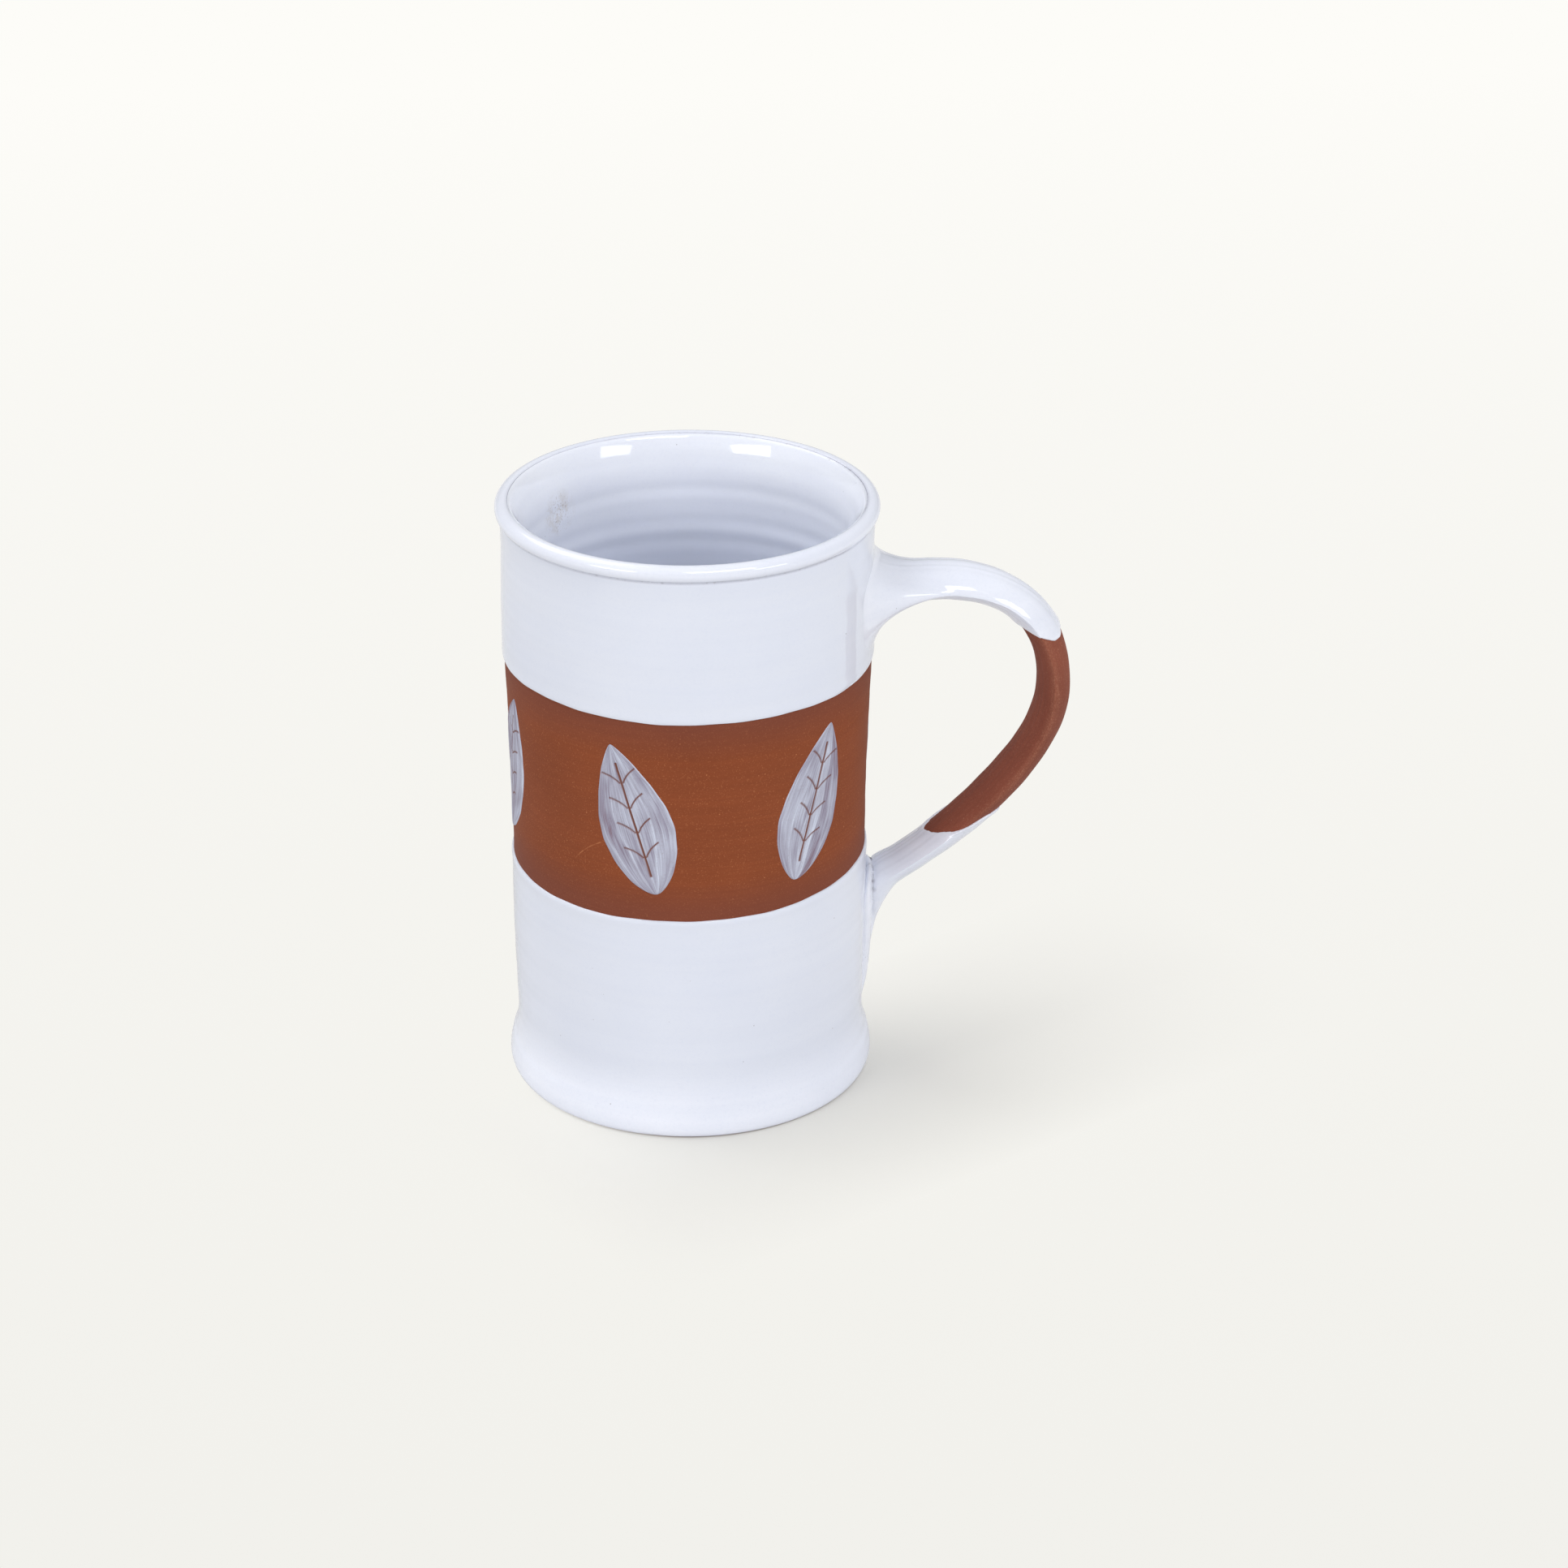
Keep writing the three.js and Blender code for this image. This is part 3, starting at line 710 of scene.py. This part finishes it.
def strap_point(distance, angle, grow):
    """A point on the strap's skin. An angle of 0 is its far edge, 90 degrees the middle of its outer face
    and 180 degrees its near edge. Finger marks run along both faces, and the size wanders a little."""
    centre, ahead = on_strap(distance)
    outward = Vector((-ahead.z, 0, ahead.x))
    narrow, flat, pressed = (swing(distance, *span) for span in (narrowing, flattening, pressing))
    place = distance / MM
    hand = 0.14 * math.sin(place * 0.11 + 1) + 0.1 * math.sin(place * 0.31) + 0.05 * math.sin(place * 0.83)
    width = STRAP_WIDTH + (HEEL_WIDTH - STRAP_WIDTH) * narrow
    width += (TAIL_WIDTH - width) * flat
    thickness = STRAP_THICKNESS + (HEEL_THICKNESS - STRAP_THICKNESS) * narrow
    thickness += (TAIL_THICKNESS - thickness) * flat
    thickness -= TIP_THINNED * swing(distance, *thinning_out)
    half_width = width / 2 + hand * MM + grow
    half_thick = thickness / 2 + 0.4 * hand * MM + grow
    cosine, sine = math.cos(angle), math.sin(angle)
    across = powered(cosine, 1 - TAIL_SQUARED * pressed)
    lens = ROOT_LENS + (STRAP_LENS - ROOT_LENS) * swing(distance, *filling_out)
    out = powered(sine, lens + (TAIL_LENS - lens) * pressed)
    lean = across + 0.12 * math.sin(place * 0.06)
    groove = 1 - 2 * math.sqrt(math.sin(lean * 5.2 + (0.9 if sine > 0 else 0.2)) ** 2 + 0.01)
    marks = FINGER_DEPTH * abs(groove) * (1 - abs(across) ** 4) * (1 - 0.5 * pressed)
    drop = EDGE_DROP * (0.25 - (1 - abs(sine)) * (1 - pressed))
    skin = centre + outward * (half_thick * out + marks * sine + drop)
    skin.y += half_width * across
    return skin


ROOT_REACH = 24 * MM
ROOT_FILLET = 16.5 * MM
ROOT_RINGS = 30
ROOT_SPREAD = 21 * MM
ROOT_SPREAD_TOP = 129.2 * MM
ROOT_SPREAD_BOTTOM = 101.8 * MM
ROOT_SQUARED = 2 / 3
ROOT_TUCK = 0.1 * MM
ROOT_CENTRE_RISE = 2.6 * MM
WALL_PULL = 0.5
WALL_PULL_BESIDE = 0.38
STRAP_PULL = 0.62
STRAP_PULL_BESIDE = 0.4


def wall_point(across, height, grow):
    """A point on the wall's skin at a distance across from the handle's plane, and its bearing."""
    radius = clay_radius(height) + grow
    bearing = across / radius
    return Vector((radius * math.cos(bearing), radius * math.sin(bearing), height)), bearing


def root_line(angle, grow):
    """The points of the fillet between wall and strap at one angle round the strap, from the wall outward.
    It leaves the wall along the wall, and meets the strap along the strap, further out beside the strap
    than above and below it."""
    cosine, sine = math.cos(angle), math.sin(angle)
    across = ROOT_SPREAD * powered(cosine, ROOT_SQUARED)
    middle = (ROOT_SPREAD_TOP + ROOT_SPREAD_BOTTOM) / 2
    height = middle + (ROOT_SPREAD_TOP - middle) * powered(sine, ROOT_SQUARED)
    start, bearing = wall_point(across, height, grow - ROOT_TUCK)
    centre = wall_point(0, root.z + ROOT_CENTRE_RISE, grow)[0]
    inward = Vector((math.sin(bearing) * across, -math.cos(bearing) * across, centre.z - height))
    beside = cosine ** 6
    met = ROOT_FILLET + (ROOT_REACH - ROOT_FILLET) * beside
    end = strap_point(met, angle, grow)
    ahead = on_strap(met)[1]
    leave = start + inward * (WALL_PULL + (WALL_PULL_BESIDE - WALL_PULL) * beside)
    pull = STRAP_PULL + (STRAP_PULL_BESIDE - STRAP_PULL) * beside
    arrive = end - ahead * (pull * (end - centre).dot(ahead))
    line = []
    for i in range(ROOT_RINGS):
        distance = ROOT_REACH * i / ROOT_RINGS
        share = distance / met
        if share < 1:
            between_pulls = leave.lerp(arrive, share)
            first = start.lerp(leave, share).lerp(between_pulls, share)
            second = between_pulls.lerp(arrive.lerp(end, share), share)
            line.append(first.lerp(second, share))
        else:
            line.append(strap_point(distance, angle, grow))
    return line


PAD_RISE = 1.5 * MM
PAD_SPREAD = 3.0 * MM
CREASE = 0.9 * MM
CREASE_DEPTH = 0.45 * MM
PAD_NARROWED = 0.8
PAD_ON_FACES = 0.25


def seated(point, distance, grow):
    """Spreads the clay where the strap's lower end is pressed to the wall, into a low pad with a round edge
    and a crease round it. The pad narrows down the tail."""
    above = math.hypot(point.x, point.y) - clay_radius(point.z) - grow
    if distance < pad_start or above > PAD_RISE + CREASE:
        return point
    radial = Vector((point.x, point.y, 0)).normalized()
    sideways = point - on_strap(distance)[0]
    sideways -= radial * sideways.dot(radial)
    sideways.normalize()
    rounded = math.sqrt(max(0, 1 - max(0, above / PAD_RISE) ** 2))
    crease = max(0, 1 - abs(above - PAD_RISE) / CREASE)
    narrow = 1 - PAD_NARROWED * swing(distance, *pad_narrowing)
    spread = (PAD_SPREAD * rounded - CREASE_DEPTH * crease) * narrow
    return point + sideways * (spread * (PAD_ON_FACES + (1 - PAD_ON_FACES) * abs(sideways.y)))


def grown(bm, ring, points):
    """Extrudes a ring of vertices and moves the new ring to the points given."""
    edges = [bm.edges.get(pair) for pair in zip(ring, ring[1:] + ring[:1])]
    made = set(bmesh.ops.extrude_edge_only(bm, edges=edges)["geom"])
    fresh = []
    for vert, point in zip(ring, points):
        new = next(e.other_vert(vert) for e in vert.link_edges if e.other_vert(vert) in made)
        new.co = point
        fresh.append(new)
    return fresh


JOINT_WEAR = 0.45
JOINT_WEAR_WIDTH = 0.5 * MM


def strapped(rows, closed):
    """A mesh grown ring by ring along the strap. A row holds a ring's points, each with its distance along
    the strap. A closed mesh joins its last ring to its first; an open one has its ends filled. Its glaze
    shows wear where the pad of the lower joint meets the wall."""
    bm = bmesh.new()
    lie = bm.verts.layers.float_vector.new("strap_lie")
    wear_and_shade = bm.verts.layers.float.new("wear_and_shade")
    first = ring = bmesh.ops.create_circle(bm, segments=STRAP_SIDES, radius=1)["verts"]
    for vert, (point, distance) in zip(first, rows[0]):
        vert.co = point
    for row in rows:
        if row is not rows[0]:
            ring = grown(bm, ring, [point for point, distance in row])
        for vert, (point, distance) in zip(ring, row):
            centre, ahead = on_strap(distance)
            off = point - centre
            vert[lie] = (distance, point.y, off.dot(Vector((-ahead.z, 0, ahead.x))))
            above = math.hypot(point.x, point.y) - clay_radius(point.z) - COAT
            by_joint = swing(distance, *wear_start) * (1 - swing(distance, *wear_end))
            vert[wear_and_shade] = JOINT_WEAR * by_joint * math.exp(-((above - PAD_RISE) / JOINT_WEAR_WIDTH) ** 2)
    if closed:
        edges = [bm.edges.get(pair) for pair in zip(ring, ring[1:] + ring[:1])]
        edges += [bm.edges.get(pair) for pair in zip(first, first[1:] + first[:1])]
        bmesh.ops.bridge_loops(bm, edges=edges)
    else:
        bmesh.ops.contextual_create(bm, geom=first)
        bmesh.ops.contextual_create(bm, geom=ring)
    bmesh.ops.recalc_face_normals(bm, faces=bm.faces)
    return bm


strap_angles = [2 * math.pi * i / STRAP_SIDES for i in range(STRAP_SIDES)]
COATED = 0.2 * MM


def strap_row(distances, grows):
    """A ring on the strap, with its own distance and growth at each angle. Coated points have a coat on
    the wall beside them too."""
    row = []
    for angle, distance, grow in zip(strap_angles, distances, grows):
        wall_grow = COAT if grow > COATED else 0
        row.append((seated(strap_point(distance, angle, grow), distance, wall_grow), distance))
    return row


def root_rows(grow):
    """The rings of the fillet, from the wall to just before the strap."""
    lines = [root_line(angle, grow) for angle in strap_angles]
    return [[(line[i], ROOT_REACH * i / ROOT_RINGS) for line in lines] for i in range(ROOT_RINGS)]


HANDLE_DARK = tone(117, 63, 48)
HANDLE_SPECK = tone(190, 135, 108)
RIDGE_HIGHLIGHT_SPAN = (0.44 * STRAP_WIDTH, 0.495 * STRAP_WIDTH)
INNER_FACE_SHADE_SPAN = (-1 * MM, -2.8 * MM)


def strap_marks(tree, coords, colour):
    """The strap's two ridges are painted paler along a broken line, a painted highlight, and its inner face
    is painted a little darker, as painted shade.
    """
    aside = maths(tree, "ABSOLUTE", along_axis(tree, coords, "Y"))
    # Painted highlight: a broken pale line along both ridges of the strap.
    ridge_highlight = between(tree, aside, *RIDGE_HIGHLIGHT_SPAN)
    highlight_strength = between(tree, noise(tree, coords, 2600, 3, 0.7), 0.48, 0.7, 0.05, 0.42)
    colour = laid(tree, colour, HANDLE_SPECK, ridge_highlight, highlight_strength)
    # Painted shade: the inner face of the strap is a little darker.
    inner = between(tree, along_axis(tree, coords, "Z"), *INNER_FACE_SHADE_SPAN)
    return laid(tree, colour, HANDLE_DARK, inner, 0.2)


clay_rows = root_rows(0)
steps = math.ceil((strap_length - ROOT_REACH) / RING_STEP)
for i in range(steps + 1):
    distance = ROOT_REACH + (strap_length - ROOT_REACH) * i / steps
    clay_rows.append(strap_row([distance] * STRAP_SIDES, [0] * STRAP_SIDES))
bm = strapped(clay_rows, closed=False)
handle_clay = clay_finish(
    "handle_clay", tone(144, 81, 63), HANDLE_DARK, HANDLE_SPECK, strap_marks, "strap_lie", (60, 900, 900),
)
piece("handle_strap", bm, handle_clay, "handle_clay", "handle")


# Where the cup was dipped, the handle's two ends went in with it. The upper glaze covers the root, softens
# it into the wall and ends past the bend, a little lower on the outer face. The lower glaze starts on the
# strap near its level on the wall, higher on the outer face, and runs down over the joint and the tail.

HALVINGS = 30
MIDDLE_WIDTH = 0.42


def level_stop(level, angle, low, high):
    """The distance along the strap at which its skin passes a level, at one angle round it."""
    for _ in range(HALVINGS):
        middle = (low + high) / 2
        if strap_point(middle, angle, 0).z > level:
            low = middle
        else:
            high = middle
    return (low + high) / 2


def edge_level(angle, edges, outer, inner, middle):
    """How far above its level on the wall a glaze ends on the strap, from that at the strap's edges and on
    its outer and inner faces. The middle of the outer face ends higher by a little more."""
    across = abs(math.cos(angle))
    if math.sin(angle) < 0:
        return inner + (edges - inner) * across ** 2
    return outer + (edges - outer) * across ** 6 + middle * math.exp(-(across / MIDDLE_WIDTH) ** 2)


def edge_shares(length, step):
    """Distances from a glaze edge, close together at the edge and then a step apart."""
    near = EDGE_STEPS[-1]
    count = math.ceil((length - near) / step)
    return EDGE_STEPS + [near + (length - near) * (i + 1) / count for i in range(count)]


def coat_rows(edges, far, step):
    """The rings of a coat's face and of its back, from its edge at each angle to one far distance."""
    run = max(abs(far - edge) for edge in edges)
    face_rows, back_rows = [], []
    for stop in edge_shares(run, step):
        distances = [edge + stop * (far - edge) / run for edge in edges]
        heights = [coat_height(stop * abs(far - edge) / run) or -BACK_SINK for edge in edges]
        face_rows.append(strap_row(distances, heights))
        back_rows.append(strap_row(distances, [-BACK_SINK] * STRAP_SIDES))
    return face_rows, back_rows


upper_edges = []
for angle in strap_angles:
    level = band_top + edge_level(angle, edges=3.2 * MM, outer=1.4 * MM, inner=5.4 * MM, middle=1.8 * MM)
    level += 0.3 * edge_wave(3 * angle, 2.2)
    upper_edges.append(level_stop(level, angle, ROOT_REACH + 12 * MM, reach_stop + 6 * MM))
face_rows, back_rows = coat_rows(upper_edges, ROOT_REACH, 0.7 * MM)
face_rows = root_rows(COAT) + face_rows[::-1]
back_rows = root_rows(-BACK_SINK) + back_rows[:0:-1]
bm = strapped(face_rows + back_rows[::-1], closed=True)
piece("handle_upper_glaze_coat", bm, outer_glaze, "outer_glaze", "handle_upper_glaze")

lower_edges = []
for angle in strap_angles:
    level = band_bottom + edge_level(angle, edges=3.4 * MM, outer=7 * MM, inner=0.3 * MM, middle=0)
    level += 0.7 * edge_wave(2 * angle, 3.1)
    lower_edges.append(level_stop(level, angle, reach_stop + 20 * MM, tail_start + 6 * MM))
face_rows, back_rows = coat_rows(lower_edges, strap_length, 0.5 * MM)
bm = strapped(face_rows + back_rows[:0:-1], closed=True)
piece("handle_lower_glaze_coat", bm, outer_glaze, "outer_glaze", "handle_lower_glaze")


# Six leaves stand round the bare band, each brushed on in pale slip with curved strokes from stalk to tip,
# so thin that the clay greys it between the strokes. The midrib and the veins were scratched back to the
# clay with a point before the slip dried.

LEAF_COUNT = 6
LEAF_FIRST_DEG = 9
LEAF_LEAN_DEG = 16
LEAF_MARGIN = 5.4 * MM
LEAF_WIDTH = 17 * MM
LEAF_FULLEST = 0.82
LEAF_BLUNTNESS = 0.78
LEAF_ROWS = 170
LEAF_COLUMNS = 60
SLIP = 0.22 * MM
SLIP_BACK = 0.12 * MM
SLIP_EDGE = 0.5 * MM
SLIP_TUCK = 0.05 * MM
SLIP_STROKES = 0.035 * MM
SCRATCH = 0.5 * MM
SCRATCHED_OFF = 0.92
MIDRIB_MARGIN = 4.5 * MM
VEIN_PAIRS = 4
VEIN_RISE_DEG = 42
VEIN_START = 0.6 * MM
VEIN_LENGTH = 5.4 * MM
VEIN_BOW = 0.45 * MM
VEIN_FINER = 0.1 * MM
STROKES_PER_SIDE = 2.4
THIN_SLIP = tone(131, 122, 143)
THICK_SLIP = tone(209, 216, 233)
CLAY_THROUGH_SLIP = tone(132, 86, 78)
SLIP_GRAIN = tone(132, 104, 106)
SCRATCHED_CLAY = tone(116, 66, 52)

leaf_length = (band_top - band_bottom) - 2 * LEAF_MARGIN
leaf_middle = (band_top + band_bottom) / 2


def leaf_half_width(share):
    """Half the leaf's width at a share of its length from the stalk: fullest below the middle."""
    return LEAF_WIDTH / 2 * math.sin(math.pi * share ** LEAF_FULLEST) ** LEAF_BLUNTNESS


def scratch_depth(along, across):
    """How deep a scratched line cuts at a place on the leaf, from 0 to 1."""
    half_rib = leaf_length / 2 - MIDRIB_MARGIN
    nearest = abs(across) if abs(along) < half_rib else 1
    rise, run = math.sin(math.radians(VEIN_RISE_DEG)), math.cos(math.radians(VEIN_RISE_DEG))
    for i in range(VEIN_PAIRS):
        above_foot = along + half_rib - 2 * half_rib * (i + 0.7) / (VEIN_PAIRS + 0.6)
        out = abs(across) * run + above_foot * rise
        off = above_foot * run - abs(across) * rise
        bow = VEIN_BOW * math.sin(math.pi * min(1, max(0, out / VEIN_LENGTH)))
        if VEIN_START < out < VEIN_LENGTH:
            nearest = min(nearest, abs(off - bow) + VEIN_FINER)
    return 1 - swing(nearest, SCRATCH * 0.35, SCRATCH * 0.75)


def slip_finish():
    """Brushed slip: bluish white where it lies thick, lilac grey where the clay shows through the strokes.
    Each stroke of the brush has its own thickness, a thicker rim, and the lines of the bristles."""
    material, tree, shader, coords = finish_of("slip", {"Roughness": 0.62, "IOR": 1.45})
    lie = carried(tree, "leaf_lie", "Vector")
    drift = noise(tree, stretched(tree, lie, (1.4, 1.1, 1)), 1.0, 2)
    lane = maths(tree, "MULTIPLY", along_axis(tree, lie, "Y"), STROKES_PER_SIDE)
    lane = maths(tree, "ADD", lane, maths(tree, "MULTIPLY", drift, 2.2))
    own = put(tree, "ShaderNodeTexWhiteNoise", {"W": maths(tree, "FLOOR", lane)}, noise_dimensions="1D")
    rim = between(tree, apart(tree, maths(tree, "FRACT", lane), 0.5), 0.36, 0.48)
    bristles = between(tree, noise(tree, stretched(tree, lie, (2.2, 26, 1)), 1.0, 5, 0.7), 0.36, 0.64)
    patches = between(tree, noise(tree, stretched(tree, lie, (3.2, 2.4, 1)), 1.0, 2), 0.4, 0.62)
    thick = maths(tree, "MULTIPLY", own.outputs["Value"], 0.42)
    for part, weight in ((rim, 0.16), (bristles, 0.38), (patches, 0.26)):
        thick = maths(tree, "ADD", thick, maths(tree, "MULTIPLY", part, weight))
    colour = mixed(tree, between(tree, thick, 0.2, 0.95), THIN_SLIP, THICK_SLIP)
    colour = laid(tree, colour, CLAY_THROUGH_SLIP, between(tree, thick, 0.3, 0.08), 0.6)
    grain = between(tree, noise(tree, coords, 2600, 3, 0.6), 0.56, 0.75)
    colour = laid(tree, colour, SLIP_GRAIN, grain, 0.3)
    colour = mixed(tree, carried(tree, "scratched"), colour, SCRATCHED_CLAY)
    rise = maths(tree, "ADD", maths(tree, "MULTIPLY", thick, 0.8), maths(tree, "MULTIPLY", grain, 0.2))
    surfaced(tree, shader, colour, rise, 0.5, 0.08 * MM)
    return material


slip = slip_finish()
for number in range(LEAF_COUNT):
    bm = bmesh.new()
    bmesh.ops.create_grid(bm, x_segments=LEAF_ROWS, y_segments=LEAF_COLUMNS, size=0.5)
    lie = bm.verts.layers.float_vector.new("leaf_lie")
    scratched = bm.verts.layers.float.new("scratched")
    lean = math.radians(LEAF_LEAN_DEG if number % 2 else -LEAF_LEAN_DEG)
    bearing = math.radians(LEAF_FIRST_DEG + 360 / LEAF_COUNT * number)
    for vert in bm.verts:
        share = min(1, max(0, vert.co.x + 0.5))
        side = powered(vert.co.y * 2, 1.15)
        half_width = leaf_half_width(share)
        ragged = 1 + 0.012 * math.sin(share * 13 + number * 2) + 0.006 * math.sin(share * 41 + number)
        across = side * half_width * ragged
        along = (share - 0.5) * leaf_length
        edge = min((1 - abs(side)) * half_width, share * leaf_length, (1 - share) * leaf_length)
        depth = scratch_depth(along, across)
        stroke = SLIP_STROKES * math.sin(side * 21 + 2 * math.sin(share * 5 + number))
        height = (SLIP + stroke) * swing(edge, 0, SLIP_EDGE) * (1 - SCRATCHED_OFF * depth)
        vert[lie] = (share + number, side + 3 * number, 0)
        vert[scratched] = depth
        east = across * math.cos(lean) + along * math.sin(lean)
        north = along * math.cos(lean) - across * math.sin(lean)
        level = leaf_middle + north
        radius = clay_radius(level) + height - (SLIP_TUCK if edge <= 0 else 0)
        turn = bearing + east / radius
        vert.co = (radius * math.cos(turn), radius * math.sin(turn), level)
    bmesh.ops.remove_doubles(bm, verts=bm.verts, dist=WELD)
    throwing(bm)
    bmesh.ops.recalc_face_normals(bm, faces=bm.faces)
    bmesh.ops.solidify(bm, geom=bm.faces[:], thickness=SLIP_BACK)
    piece(f"slip_leaf_coat_{number + 1}", bm, slip, "slip", f"slip_leaf_{number + 1}")


# The cup stands on a plain pale floor with no horizon in view. What the camera sees of it is its own
# paleness, painted a little darker towards the camera as painted shade, and close to the foot more and more
# of the light on it, so the soft shadow keeps near the cup. It lies along a line that leaves the foot to the
# right and backwards.

FLOOR_SIZE = 80.0
FLOOR_PALE = 0.86
FLOOR_NEAR = tone(240, 239, 234)
FLOOR_FAR = tone(253, 252, 248)
FLOOR_TONE_SPAN = (-0.35, 0.82)
FLOOR_BOUNCE = (0.78, 0.775, 0.765, 1)
SHADOW_TURN_DEG = 32
SHADOW_SHARE = 0.9
SHADOW_FADES = (
    ("X", -68 * MM, -48 * MM), ("X", 142 * MM, 40 * MM), ("Y", -84 * MM, -40 * MM), ("Y", 9 * MM, -34 * MM),
)

bm = bmesh.new()
bmesh.ops.create_grid(bm, x_segments=1, y_segments=1, size=FLOOR_SIZE / 2)
floor_mesh = bpy.data.meshes.new("floor")
bm.to_mesh(floor_mesh)
bm.free()
floor = bpy.data.objects.new("floor", floor_mesh)
bpy.context.scene.collection.objects.link(floor)
floor_finish = bpy.data.materials.new("floor")
floor_finish.use_nodes = True
tree = floor_finish.node_tree
tree.nodes.clear()
place = put(tree, "ShaderNodeTexCoord").outputs["Object"]
# Painted shade: the floor's own glow is darker towards the camera.
far = between(tree, along_axis(tree, place, "Y"), *FLOOR_TONE_SPAN)
pale = mixed(tree, far, FLOOR_NEAR, FLOOR_FAR)
shadow_turn = (0, 0, -math.radians(SHADOW_TURN_DEG))
turned = put(tree, "ShaderNodeMapping", {"Vector": place, "Rotation": shadow_turn}).outputs[0]
shadowed = SHADOW_SHARE
for axis, none, full in SHADOW_FADES:
    shadowed = maths(tree, "MULTIPLY", between(tree, along_axis(tree, turned, axis), none, full), shadowed)
lit = put(tree, "ShaderNodeBsdfDiffuse", {"Color": FLOOR_BOUNCE})
glow = put(tree, "ShaderNodeEmission", {"Color": pale})
lit_pale = put(tree, "ShaderNodeBsdfDiffuse", {"Color": mixed(tree, FLOOR_PALE, (0, 0, 0, 1), pale)})
seen = put(tree, "ShaderNodeMixShader", {0: shadowed, 1: glow.outputs[0], 2: lit_pale.outputs[0]})
ray = put(tree, "ShaderNodeLightPath").outputs["Is Camera Ray"]
chosen = put(tree, "ShaderNodeMixShader", {0: ray, 1: lit.outputs[0], 2: seen.outputs[0]})
put(tree, "ShaderNodeOutputMaterial", {"Surface": chosen.outputs[0]})
floor_mesh.materials.append(floor_finish)


# Soft studio light: two window-like softboxes in front, left and right, whose reflections show in the glaze,
# a long one above them that streaks the handle, weak broad ones behind and at the sides, and an even pale
# room round them. The left window throws the soft shadow.

ROOM_LEVEL = 0.33
LAMP_DISTANCE = 4.0


def softbox(name, bearing, elevation, width, height, brightness, mirrored=True):
    """A rectangular lamp that faces the cup, seen or not in its gloss. A bearing of 0 is in front, towards
    -Y, and 90 to the right."""
    turn, lift = math.radians(bearing), math.radians(elevation)
    toward = Vector((math.sin(turn) * math.cos(lift), -math.cos(turn) * math.cos(lift), math.sin(lift)))
    lamp = bpy.data.lights.new(name, "AREA")
    lamp.shape = "RECTANGLE"
    lamp.size = width
    lamp.size_y = height
    lamp.energy = brightness * math.pi * width * height
    made = bpy.data.objects.new(name, lamp)
    made.location = toward * LAMP_DISTANCE
    made.rotation_mode = "QUATERNION"
    made.rotation_quaternion = toward.to_track_quat("Z", "Y")
    made.visible_glossy = mirrored
    bpy.context.scene.collection.objects.link(made)


softbox("left_window", -48, 25, 1.8, 1.0, 7.1)
softbox("right_window", 47, 25, 1.4, 1.0, 5.4)
softbox("front_top", 20, 50, 2.3, 1.0, 7.0)
softbox("left_high", -95, 58, 2.2, 2.2, 1.0)
softbox("back_left", -130, 55, 2.5, 2.5, 2.5)
softbox("right_low", 100, 12, 2.5, 2.0, 1.9, mirrored=False)

world = bpy.data.worlds.new("room")
world.use_nodes = True
background = world.node_tree.nodes["Background"]
background.inputs["Color"].default_value = (1, 1, 1, 1)
background.inputs["Strength"].default_value = ROOM_LEVEL
bpy.context.scene.world = world
bpy.context.scene.view_settings.view_transform = "Standard"


# The camera looks slightly down on the cup from the front, with the handle to the right, through a long
# lens, and is turned a hair on its axis.

CAMERA_DISTANCE = 0.88
CAMERA_ELEVATION_DEG = 25.975
CAMERA_BEARING_DEG = 5.0
CAMERA_ROLL_DEG = 0.339
CAMERA_LENS = 88.88
CAMERA_FILM = 36
AIM_OUT = 21.56 * MM
AIM_HEIGHT = 68.78 * MM

bearing, elevation = math.radians(CAMERA_BEARING_DEG), math.radians(CAMERA_ELEVATION_DEG)
level_ahead = Vector((math.sin(bearing), math.cos(bearing), 0))
forward = level_ahead * math.cos(elevation) - Vector((0, 0, math.sin(elevation)))
right = forward.cross(Vector((0, 0, 1))).normalized()
upward = right.cross(forward)
aim = Vector((AIM_OUT * math.cos(bearing), -AIM_OUT * math.sin(bearing), AIM_HEIGHT))
facing = Matrix((right, upward, -forward)).transposed().to_4x4()
roll = Matrix.Rotation(math.radians(CAMERA_ROLL_DEG), 4, "Z")
camera_data = bpy.data.cameras.new("camera")
camera_data.lens = CAMERA_LENS
camera_data.sensor_width = CAMERA_FILM
camera = bpy.data.objects.new("camera", camera_data)
camera.matrix_world = Matrix.Translation(aim - forward * CAMERA_DISTANCE) @ facing @ roll
bpy.context.scene.collection.objects.link(camera)
bpy.context.scene.camera = camera
